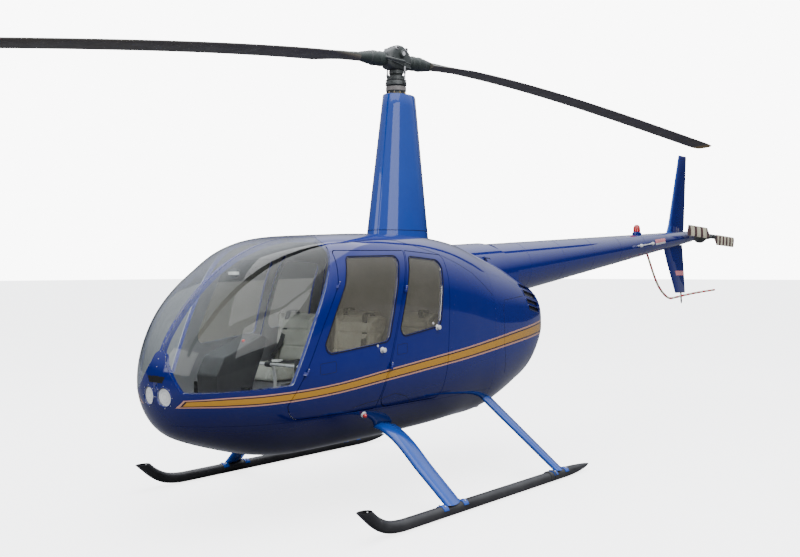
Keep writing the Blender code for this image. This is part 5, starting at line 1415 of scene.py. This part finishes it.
for which, back, front, lift in (("front", -0.895, -1.13, 0.0), ("rear", -0.245, -0.46, 0.0)):
    pieces = []
    top = back + (0.150 if which == "front" else 0.100)
    for x, side in ((0.385, 1.0), ):
        shoulder = [(x - 0.02, top + 0.020, 1.225), (x - 0.02, top - 0.004, 1.268), (x - 0.015, top - 0.062, 1.266),
                    (x, back + 0.052, 1.150), (x + 0.02, back + 0.012, 1.020), (x + 0.05, back - 0.030, 0.940)]
        pieces.append(strap("shoulder", shoulder, (1.0, 0.0, 0.0)))
    lap = [(0.475, back + 0.060, 0.880), (0.440, back - 0.020, 0.925), (0.380, back - 0.090, 0.921),
           (0.285, back - 0.120, 0.920), (0.190, back - 0.090, 0.921), (0.130, back - 0.020, 0.925),
           (0.095, back + 0.060, 0.880)]
    pieces.append(strap("lap", lap, (0.0, 1.0, 0.35)))
    pieces.append(softBlock("buckle", (0.255, back - 0.148, 0.918), (0.315, back - 0.092, 0.934), 0.004, "chrome"))
    belt = joined(pieces, which + "BeltPort")
    settle(mirroredPiece(belt, which + "BeltStarboard"))
    settle(belt)

# Console with its instruments, cyclic with its swinging bar, pedals, compass
console = {"outline": [(-1.858, 0.602), (-1.662, 0.602), (-1.562, 0.880), (-1.452, 1.120), (-1.500, 1.153),
                       (-1.818, 1.028), (-1.876, 0.920)], "half": 0.098, "dial": 0.026}
pieces = [softPrism("case", console["outline"], -console["half"], console["half"], 0.014, "black", 4)]
foot, top = np.array((0.0, -1.562, 0.880)), np.array((0.0, -1.452, 1.120))
rise = (top - foot) / np.linalg.norm(top - foot)
outward = np.array((0.0, rise[2], -rise[1]))
basis = Matrix(((1.0, 0.0, 0.0, 0.0), (0.0, rise[1], outward[1], 0.0), (0.0, rise[2], outward[2], 0.0),
                (0.0, 0.0, 0.0, 1.0)))
for row in range(3):
    for x in (-0.056, 0.0, 0.056):
        place = foot + rise * (0.055 + row * 0.072) + (x, 0.0, 0.0)
        turnTo = Matrix.Translation(place) @ basis
        r = console["dial"]
        bezel = [(r - 0.003, -0.004), (r - 0.003, 0.0035), (r - 0.001, 0.0055), (r, 0.005), (r + 0.001, 0.001),
                 (r + 0.001, -0.004)]
        pieces.append(turned("bezel", (0.0, 0.0, 0.0), bezel, "rubber", "Z", 28, matrix=turnTo))
        pieces.append(turned("dialFace", (0.0, 0.0, 0.0), [(r - 0.002, 0.0), (r - 0.002, 0.0025)], "black", "Z", 28,
                             matrix=turnTo))
        for k in range(9):
            t = math.radians(225.0 - 33.75 * k)
            spin = turnTo @ Matrix.Rotation(t, 4, "Z")
            pieces.append(softBlock("tick", (r - 0.009, -0.0006, 0.0024), (r - 0.0045, 0.0006, 0.0030), 0.0002,
                                    "white", 1, matrix=spin))
        spin = turnTo @ Matrix.Rotation(math.radians(200.0 - 47.0 * row + x * 900.0), 4, "Z")
        pieces.append(softBlock("needle", (-0.004, -0.0009, 0.0030), (r - 0.008, 0.0009, 0.0036), 0.0003, "white", 1,
                                matrix=spin))
pieces.append(rod("knobRed", (0.030, -1.60, 1.106), (0.030, -1.606, 1.122), 0.010, "redLens", 16))
settle(joined(pieces, "instrumentConsole"), stands=("instrument_console",))
stick = through([(0.0, -1.302, 0.602), (0.0, -1.303, 0.75), (0.0, -1.305, 0.86), (0.0, -1.325, 0.925),
                 (0.0, -1.362, 0.946)], 26)
pieces = [tube("stick", stick, 0.0115, "alloy", 18, (1.0, 0.0, 0.0)),
          rod("bar", (-0.296, -1.36, 0.945), (0.296, -1.36, 0.945), 0.0105, "alloy", 18),
          rod("joint", (-0.022, -1.362, 0.945), (0.022, -1.362, 0.945), 0.018, "black", 20)]
for side in (1.0, -1.0):
    grip = [(0.0115, 0.860), (0.0150, 0.864), (0.0158, 0.885), (0.0140, 0.905), (0.0158, 0.925), (0.0145, 0.950),
            (0.0160, 0.972), (0.0130, 0.982), (0.0040, 0.985)]
    pieces.append(turned("grip", (side * 0.262, -1.36, 0.0), grip, "black", "Z", 24))
    pieces.append(rod("cap", (side * 0.296, -1.36, 0.945), (side * 0.2995, -1.36, 0.945), 0.012, "chrome", 18))
gaiter = [(0.050, 0.601), (0.047, 0.612), (0.038, 0.618), (0.042, 0.628), (0.030, 0.636), (0.034, 0.646), (0.020, 0.656),
          (0.0125, 0.668)]
pieces.append(turned("gaiter", (0.0, -1.302, 0.0), gaiter, "rubber", "Z", 32))
settle(joined(pieces, "cyclicStick"), stands=("cyclic_stick",))
pieces = []
for x in (0.155, 0.315):
    arm = through([(x, -1.56, 0.603), (x, -1.62, 0.66), (x, -1.668, 0.735), (x, -1.680, 0.790)], 16)
    pieces.append(tube("arm", arm, 0.008, "alloy", 12, (1.0, 0.0, 0.0)))
    pieces.append(softBlock("pad", (x - 0.040, -1.696, 0.762), (x + 0.040, -1.680, 0.838), 0.006, "rubber"))
    for z in (0.780, 0.800, 0.820):
        pieces.append(softBlock("grip", (x - 0.034, -1.681, z - 0.004), (x + 0.034, -1.677, z + 0.004), 0.0015, "rubber"))
pedals = joined(pieces, "pedalsPort")
settle(mirroredPiece(pedals, "pedalsStarboard"))
settle(pedals)
compass = [(0.004, -0.030), (0.020, -0.026), (0.030, -0.014), (0.033, 0.0), (0.030, 0.014), (0.020, 0.026), (0.004, 0.030)]
pieces = [turned("ball", (0.0, -1.655, 1.545), compass, "black", "Y", 32),
          turned("card", (0.0, -1.655, 1.545), [(0.0335, -0.010), (0.0342, -0.006), (0.0342, 0.006), (0.0335, 0.010)],
                 "white", "Z", 32),
          rod("stem", (0.0, -1.655, 1.575), (0.0, -1.640, 1.632), 0.007, "black", 14)]
settle(joined(pieces, "compass"))
settle(tube("stripInside", [(0.0, y, float(np.interp(y, skin["y"], skin["top"])) - 0.014)
                            for y in np.linspace(-2.10, -1.24, 40)], 0.011, "trim", 16))
print("cabin furnished")

# Seams, hinges, handles, lamps and louvres on the skin


def onSkin(spots, out=0.0, side=1.0):
    places, normals = surfaceAt(spots)
    return (places + normals * out) * (side, 1.0, 1.0), normals * (side, 1.0, 1.0)


def skinLine(points, step=0.02):        # side-view points as spots of the surface
    return [sideSpot(*p) for p in dense(points, step, closed=False)]


def seamTube(spots, radius=0.0015, out=-0.0004, look="rubber", side=1.0, closed=False):
    places, normals = onSkin(spots, out, side)
    if closed:
        places = np.concatenate([places, places[:1]])
    return tube("seam", places, radius, look, 6, tuple(normals[0]))


details = {
    "seams": [[(-1.274, 1.728), (-0.876, 1.770), (-0.667, 1.765), (-0.238, 1.672)],
              [(-0.227, 1.668), (-0.04, 1.610), (0.143, 1.543), (0.30, 1.45), (0.42, 1.37)],
              [(0.603, 1.328), (0.996, 1.351)], [(0.603, 1.328), (0.571, 1.250), (0.565, 1.000), (0.600, 0.760)],
              [(-1.210, 0.694), (-1.100, 0.712), (-0.987, 0.722), (-0.816, 0.751), (-0.700, 0.720), (-0.622, 0.669)]],
    "latches": [[(-1.513, 0.929, 0.012), (-1.387, 0.938, 0.012), (-1.387, 1.005, 0.012), (-1.513, 0.996, 0.012)],
                [(-0.824, 1.005, 0.010), (-0.721, 1.012, 0.010), (-0.721, 1.078, 0.010), (-0.824, 1.071, 0.010)]],
    "screwLine": [(-0.052, 1.675), (-0.070, 1.600), (-0.165, 1.350), (-0.215, 1.141), (-0.215, 0.950), (-0.165, 0.743)],
    "hingeRadius": {"front": 0.0060, "rear": 0.0105}, "knuckle": 0.022,
    "hinges": {"front": ((-1.617, 0.951), (-1.353, 1.471)), "rear": ((-0.894, 0.938), (-0.740, 1.438))},
    "feet": {"front": ((0.006, -0.026), (0.018, -0.026)), "rear": ((0.001, -0.026), (0.007, -0.026))},
    "knobs": {"front": (-0.975, 1.047), "rear": (-0.388, 1.166)}, "navLight": (-1.085, 0.637)}
seamPieces = []
for side in (1.0, -1.0):
    for points in details["seams"]:
        seamPieces.append(seamTube(skinLine(points), side=side))
settle(joined(seamPieces, "skinSeams"))

# louvre slots: a light fin along each slot's upper edge; behind the openings a black sheet of painted shade
fins = []
for side in (1.0, -1.0):
    for slot in cabin["louvres"]:
        loop = insetLoop(onSide(slot, 0.02), 0.0)
        fins.append(seamTube(loop, 0.0030, 0.0008, "plain", side, closed=True))
settle(joined(fins, "louvreFins"))
# painted shade: a black sheet just behind the louvre openings makes them read dark
shadeSheet = onSide([(0.970, 1.480, 0.01), (1.300, 1.425, 0.01), (1.385, 1.345, 0.01), (1.375, 1.170, 0.01),
                (1.060, 1.205, 0.01)], 0.02)
for side in ("port", "starboard"):
    settle(hullPanel("louvreShadeSheet_" + side, shadeSheet, [], (0.018, 0.022), ("black", "black"), side))


def knucklePieces(which, upper):     # the door's knuckle stands above the hinge point, the frame's below
    joint = next(j for j in frame["joints"] if j["name"] == "door_%s_port_swing" % which)
    along = -Vector(joint["axis"]).normalized()
    low = Vector(joint["pos_m"]) - Vector((0.0, datumY, 0.0))
    high = low + along * ((details["hinges"][which][1][1] - details["hinges"][which][0][1]) / along.z)
    out = (Vector((1.0, 0.0, 0.0)) - along * along.x).normalized()
    own = along.cross(out)
    sign = 1.0 if upper else -1.0
    own = -own if own.y * sign < 0.0 else own
    r = details["hingeRadius"][which]
    outline = [(r * math.cos(math.radians(t)), r * math.sin(math.radians(t))) for t in range(0, 281, 14)]
    outline += list(details["feet"][which])
    made = []
    for point in (low, high):
        rings = []
        for reach, shrink in ((0.0006, 0.9), (0.0014, 1.0), (details["knuckle"] - 0.002, 1.0), (details["knuckle"], 0.9)):
            rings.append([tuple(point + along * (sign * reach) + own * (a * shrink) + out * (b * shrink))
                          for a, b in outline])
        made.append(loft("knuckle", rings, "plain"))
        if upper:
            top = point + along * 0.0221
            made.append(rod("pin", tuple(point + along * 0.004), tuple(top + along * 0.0025), 0.0048, "alloy", 12))
    return made


for which in ("front", "rear"):
    frameSide = joined(knucklePieces(which, False), which + "HingeFramePort")
    settle(mirroredPiece(frameSide, which + "HingeFrameStarboard"))
    settle(frameSide)
    made = knucklePieces(which, True)
    spot = sideSpot(*details["knobs"][which])
    place, normal = onSkin([spot])
    place, normal = Vector(place[0]), Vector(normal[0])
    turnTo = Matrix.Translation(place) @ normal.to_track_quat("Z", "Y").to_matrix().to_4x4()
    knob = [(0.020, -0.002), (0.020, 0.0015), (0.017, 0.003), (0.011, 0.004), (0.009, 0.010), (0.014, 0.014),
            (0.0165, 0.019), (0.0155, 0.024), (0.010, 0.0265), (0.002, 0.027)]
    made.append(turned("knob", (0.0, 0.0, 0.0), knob, "chrome", "Z", 32, matrix=turnTo))
    lock = Matrix.Translation(place + Vector((0.0, -0.045, 0.030))) @ turnTo.to_3x3().to_4x4()
    made.append(turned("lock", (0.0, 0.0, 0.0), [(0.0085, -0.004), (0.0085, 0.002), (0.007, 0.003), (0.001, 0.0032)],
                       "chrome", "Z", 20, matrix=lock))
    outline = onSide(details["latches"][0 if which == "front" else 1], 0.01)
    made.append(seamTube(outline, 0.0012, -0.0003, closed=True))
    window = onSide(cabin[which + "Window"], 0.02)
    made.append(seamTube(insetLoop(window, -0.006), 0.0035, 0.0006, "rubber", closed=True))
    furniture = joined(made, which + "DoorFittingsPort")
    settle(mirroredPiece(furniture, which + "DoorFittingsStarboard"), "door_%s_starboard" % which)
    settle(furniture, "door_%s_port" % which)

# side lamps: red to port, green to starboard, each on a bright teardrop base
for side, tint, name in ((1.0, "redLens", "Port"), (-1.0, "greenLens", "Starboard")):
    place, normal = onSkin([sideSpot(*details["navLight"])], 0.0, side)
    place, normal = Vector(place[0]), Vector(normal[0])
    turnTo = Matrix.Translation(place) @ normal.to_track_quat("Z", "Y").to_matrix().to_4x4()
    base = [(0.022, -0.004), (0.022, 0.003), (0.019, 0.008), (0.014, 0.010)]
    glass = [(0.0135, 0.006), (0.0140, 0.014), (0.0125, 0.022), (0.008, 0.028), (0.001, 0.030)]
    pieces = [turned("base", (0.0, 0.0, 0.0), base, "chrome", "Z", 32, matrix=turnTo),
              turned("glass", (0.0, 0.0, 0.0), glass, tint, "Z", 28, matrix=turnTo)]
    settle(joined(pieces, "navLight" + name))

# landing lights in the nose: a chrome bowl with a faint painted glow behind a clear lens, both following the skin
for side in ("port", "starboard"):
    bowl = hullPanel("landingBowl_" + side, insetLoop(lampLoop, 0.0012), [], (0.011, 0.020), ("mirror", "mirror"), side,
                     0.012)
    settle(bowl, stands=("landing_light_" + side,))
    settle(hullPanel("landingLens_" + side, insetLoop(lampLoop, 0.0012), [], (0.0015, 0.0045), ("lens", "lens"), side,
                     0.012))
lampParts = []
for side in (1.0, -1.0):
    lampParts.append(seamTube(insetLoop(lampLoop, -0.002), 0.0024, 0.0, "plain", side, closed=True))
    for radius in (0.018, 0.036):
        lampParts.append(seamTube(circleSpots(lamp["x"], lamp["z"], radius), 0.0016, -0.0105, "chrome", side,
                                  closed=True))
settle(joined(lampParts, "landingLightRims"))

# fresh-air inlet on the nose above the lamps: a black patch on the skin, painted shade in place of the opening


def noseLine(x, z):         # front view to the surface, with the middle line on the roof's line
    if x > 1e-6:
        return frontSpot(x, z)
    count = int(aftOf(-1.7) / skin["step"])
    return float(np.interp(z, skin["top"][:count], skin["u"][:count])), 0.0


inletLoop = [noseLine(*p) for p in dense([(0.0, 0.947), (0.080, 0.947), (0.061, 0.908), (0.0, 0.908)], 0.008,
                                         closed=False)]
settle(hullPanel("noseInlet", inletLoop, [], (-0.0007, 0.004), ("rubber", "rubber"), "both", 0.012))

# exhaust under the cowling
pipe = through([(0.0, 0.86, 0.60), (0.0, 0.90, 0.52), (0.0, 0.955, 0.455), (0.0, 1.02, 0.425)], 18)
pipeRings = tubeRings(pipe, 0.036, 28, (1.0, 0.0, 0.0))
boreRings = tubeRings(pipe, 0.033, 28, (1.0, 0.0, 0.0))
settle(loft("exhaustPipe", pipeRings + boreRings[:8:-1], "exhaust"))
print("fittings made")

# Screws and rivets: one tree of nodes that stands a domed head on each given point


def headTree():
    tree = bpy.data.node_groups.new("domedHeads", "GeometryNodeTree")
    for key, kind, value in (("Geometry", "NodeSocketGeometry", None), ("Head Radius", "NodeSocketFloat", 0.003),
                             ("Head Height", "NodeSocketFloat", 0.5), ("Finish", "NodeSocketMaterial", None),
                             ("Seed", "NodeSocketInt", 7)):
        socket = tree.interface.new_socket(name=key, in_out="INPUT", socket_type=kind)
        if value is not None:
            socket.default_value = value
    tree.interface.new_socket(name="Geometry", in_out="OUTPUT", socket_type="NodeSocketGeometry")
    given, result = node(tree, "NodeGroupInput").outputs, node(tree, "NodeGroupOutput").inputs
    dome = node(tree, "GeometryNodeMeshUVSphere", {"Segments": 8, "Rings": 4, "Radius": given["Head Radius"]})
    squash = node(tree, "ShaderNodeCombineXYZ", {"X": 1.0, "Y": 1.0, "Z": given["Head Height"]})
    flat = node(tree, "GeometryNodeTransform", {"Geometry": dome.outputs["Mesh"], "Scale": squash.outputs[0]})
    lie = node(tree, "GeometryNodeInputNamedAttribute", {"Name": "lie"}, data_type="FLOAT_VECTOR")
    turn = node(tree, "FunctionNodeAlignRotationToVector", {"Vector": lie.outputs["Attribute"]}, axis="Z")
    spin = node(tree, "FunctionNodeRandomValue", {"Seed": given["Seed"]}, data_type="FLOAT")
    angle = node(tree, "ShaderNodeMath", {0: spin.outputs[1], 1: 6.283}, operation="MULTIPLY")
    about = node(tree, "ShaderNodeCombineXYZ", {"Z": angle.outputs[0]})
    both = node(tree, "FunctionNodeRotateRotation", {"Rotation": turn.outputs[0], "Rotate By": about.outputs[0]},
                rotation_space="LOCAL")
    stand = node(tree, "GeometryNodeInstanceOnPoints", {"Points": given["Geometry"],
                                                        "Instance": flat.outputs["Geometry"],
                                                        "Rotation": both.outputs[0]})
    real = node(tree, "GeometryNodeRealizeInstances", {"Geometry": stand.outputs["Instances"]})
    coat = node(tree, "GeometryNodeSetMaterial", {"Geometry": real.outputs["Geometry"],
                                                  "Material": given["Finish"]})
    tree.links.new(coat.outputs["Geometry"], result["Geometry"])
    return tree


headsTree = headTree()


def headsOn(name, spots, radius, height, look, body="airframe"):        # spots are places with their normals
    mesh = bpy.data.meshes.new(name)
    mesh.from_pydata([tuple(np.array(p) + (0.0, datumY, 0.0)) for p, n in spots], [], [])
    lie = mesh.attributes.new("lie", "FLOAT_VECTOR", "POINT")
    lie.data.foreach_set("vector", np.array([tuple(n) for p, n in spots], float).ravel())
    holder = bpy.data.objects.new(name, mesh)
    bpy.context.scene.collection.objects.link(holder)
    maker = holder.modifiers.new("heads", "NODES")
    maker.node_group = headsTree
    ids = {item.name: item.identifier for item in headsTree.interface.items_tree if item.in_out == "INPUT"}
    maker[ids["Head Radius"]] = radius
    maker[ids["Head Height"]] = height
    maker[ids["Finish"]] = looks[look]
    maker[ids["Seed"]] = 7
    graph = bpy.context.evaluated_depsgraph_get()
    made = bpy.data.meshes.new_from_object(holder.evaluated_get(graph))
    holder.modifiers.remove(maker)
    holder.data = made
    made.shade_smooth()
    return settle(holder, body)


def everyAlong(spots, gap):     # evenly spaced places with normals along spots of the surface
    places, normals = onSkin(spots)
    run = np.concatenate([[0.0], np.cumsum(np.linalg.norm(np.diff(places, axis=0), axis=1))])
    at = np.linspace(gap / 2, run[-1] - gap / 2, max(2, int(run[-1] / gap)))
    pick = [[np.interp(at, run, table[:, c]) for c in range(3)] for table in (places, normals)]
    return list(zip(np.stack(pick[0], 1), np.stack(pick[1], 1)))


def bothSides(spots):
    return spots + [(p * (-1.0, 1.0, 1.0), n * (-1.0, 1.0, 1.0)) for p, n in spots]


heads = {"skin": (0.0036, 0.45), "strip": (0.0030, 0.45), "rivet": (0.0026, 0.40)}
glassRim = insetLoop(glassLoop + glassLoop[:1], -0.011)[:-1]
rimSpots = [s for s in glassRim if s[1] > 0.03]
skinScrews = everyAlong(rimSpots, 0.055) + everyAlong(skinLine(details["screwLine"]), 0.060)
for points in details["seams"][2:4]:
    skinScrews += everyAlong([(a, b + 0.012) for a, b in skinLine(points)], 0.065)
skinScrews += everyAlong(ringSpots(cabin["firewallY"] + 0.014, 1.30, 0.62), 0.070)
headsOn("skinScrews", bothSides(skinScrews), *heads["skin"], "body")
ringScrews = []
for k in range(8):
    t = 2 * math.pi * k / 8
    spot = frontSpot(max(lamp["x"] + 0.066 * math.cos(t), 0.0), lamp["z"] + 0.066 * math.sin(t))
    place, normal = onSkin([spot])
    ringScrews.append((place[0], normal[0]))
headsOn("lampScrews", bothSides(ringScrews), *heads["strip"], "alloy")
stripScrews = everyAlong([(a, 0.0) for a in np.linspace(0.11, aftOf(-1.25), 80)], 0.045)
headsOn("stripScrews", stripScrews, *heads["strip"], "alloy")
boomRivets = []
for y in (1.560, 2.190, 2.820, 3.450, 4.080, 4.700, 5.300):
    for along in (-0.006, 0.006):
        for t in np.arange(0.0, 360.0, 9.0) + (4.5 if along > 0 else 0.0):
            turn = math.radians(t)
            boomRivets.append((boomPoint(y + along, t, 0.0008), (math.cos(turn), 0.04, math.sin(turn))))
for t in (90.0, 210.0, 330.0):
    for y in np.arange(1.45, 5.52, 0.045):
        turn = math.radians(t)
        boomRivets.append((boomPoint(y, t, 0.0), (math.cos(turn), 0.04, math.sin(turn))))
headsOn("boomRivets", boomRivets, *heads["rivet"], "plain")
mastRivets = [(mastPoint(z, t, 0.0), (math.cos(math.radians(t)), math.sin(math.radians(t)), 0.05))
              for z in np.arange(1.92, 2.88, 0.06) for t in (mast["seam"] - 6.0, 186.0 - mast["seam"])]
mastRivets += [(mastPoint(1.846, t, 0.0), (math.cos(math.radians(t)), math.sin(math.radians(t)), 0.1))
               for t in np.arange(0.0, 360.0, 12.0)]
headsOn("mastRivets", mastRivets, *heads["rivet"], "mast")
print("screws and rivets set")

# CAD nodes that keep their shape
kept = {"metal": ["rotor_shaft", "main_gearbox", "engine_block"],
        "carpet": ["cabin_floor"], "trim": ["rear_bulkhead", "front_seat_base", "rear_seat_base"]}
for look, names in kept.items():
    for name in names:
        mesh = frame["nodes"][name].data
        mesh.materials.clear()
        mesh.materials.append(looks[look])

# Studio: floor, lights, camera
studio = {"floor": (0.88, 0.88, 0.885), "bounce": (0.11, 0.11, 0.12), "lift": 3.2, "air": 9.0, "size": 140.0}
floorMesh = bpy.data.meshes.new("studioFloor")
reach = studio["size"]
floorMesh.from_pydata([(-reach, -reach, -0.002), (reach, -reach, -0.002), (reach, reach, -0.002),
                       (-reach, reach, -0.002)], [], [(0, 1, 2, 3)])
floorLook = newLook("studioFloor", studio["floor"], 0.6, **{"Emission Color": (1.0, 1.0, 1.0, 1.0)})
tree = floorLook.node_tree
seen = node(tree, "ShaderNodeLightPath").outputs["Is Camera Ray"]
tree.links.new(blendColour(tree, seen, studio["bounce"], studio["floor"]), tree.nodes["Principled BSDF"].inputs["Base Color"])
tree.links.new(mathNode(tree, "MULTIPLY", seen, studio["lift"]),
               tree.nodes["Principled BSDF"].inputs["Emission Strength"])
floorMesh.materials.append(floorLook)
floor = bpy.data.objects.new("studioFloor", floorMesh)
bpy.context.scene.collection.objects.link(floor)


def areaLight(name, place, aim, size, power, colour=(1.0, 1.0, 1.0)):
    data = bpy.data.lights.new(name, "AREA")
    data.shape, data.size, data.size_y, data.energy, data.color = "RECTANGLE", size[0], size[1], power, colour
    lit = bpy.data.objects.new(name, data)
    bpy.context.scene.collection.objects.link(lit)
    lit.location = place
    lit.rotation_euler = (Vector(aim) - Vector(place)).to_track_quat("-Z", "Y").to_euler()
    return lit


areaLight("overhead", (1.0, -1.0, 9.0), (0.0, 0.0, 0.0), (9.0, 14.0), 900.0)
areaLight("portSide", (9.0, -5.0, 5.0), (0.0, -1.0, 1.2), (7.0, 5.0), 350.0)
areaLight("noseSide", (-3.0, -11.0, 4.0), (0.0, -1.0, 1.2), (7.0, 4.0), 250.0)

world = bpy.data.worlds.new("studioAir")
world.use_nodes = True
bpy.context.scene.world = world
tree = world.node_tree
direction = node(tree, "ShaderNodeSeparateXYZ", {0: node(tree, "ShaderNodeTexCoord").outputs["Generated"]}).outputs["Z"]
dome = blendColour(tree, span(tree, direction, 0.10, 0.6), (0.05, 0.055, 0.07), (1.60, 1.66, 1.80))
seen = node(tree, "ShaderNodeLightPath").outputs["Is Camera Ray"]
back = tree.nodes["Background"]
tree.links.new(blendColour(tree, seen, dome, (1.0, 1.0, 1.0)), back.inputs["Color"])
tree.links.new(span(tree, seen, 0.0, 1.0, 0.9, studio["air"]), back.inputs["Strength"])

view = {"place": (4.637, -6.400, 1.563), "yaw": -39.537, "pitch": -0.505, "roll": 0.117, "lens": 42.59}
cameraData = bpy.data.cameras.new("photoCamera")
cameraData.lens, cameraData.sensor_width, cameraData.clip_end = view["lens"], 36.0, 200.0
camera = bpy.data.objects.new("photoCamera", cameraData)
bpy.context.scene.collection.objects.link(camera)
bpy.context.scene.camera = camera
turn = Matrix.Rotation(-math.radians(view["yaw"]), 4, "Z") @ Matrix.Rotation(math.radians(90 + view["pitch"]), 4, "X")
camera.matrix_world = (Matrix.Translation(view["place"]) @ turn
                       @ Matrix.Rotation(math.radians(-view["roll"]), 4, "Z"))
print("studio made")
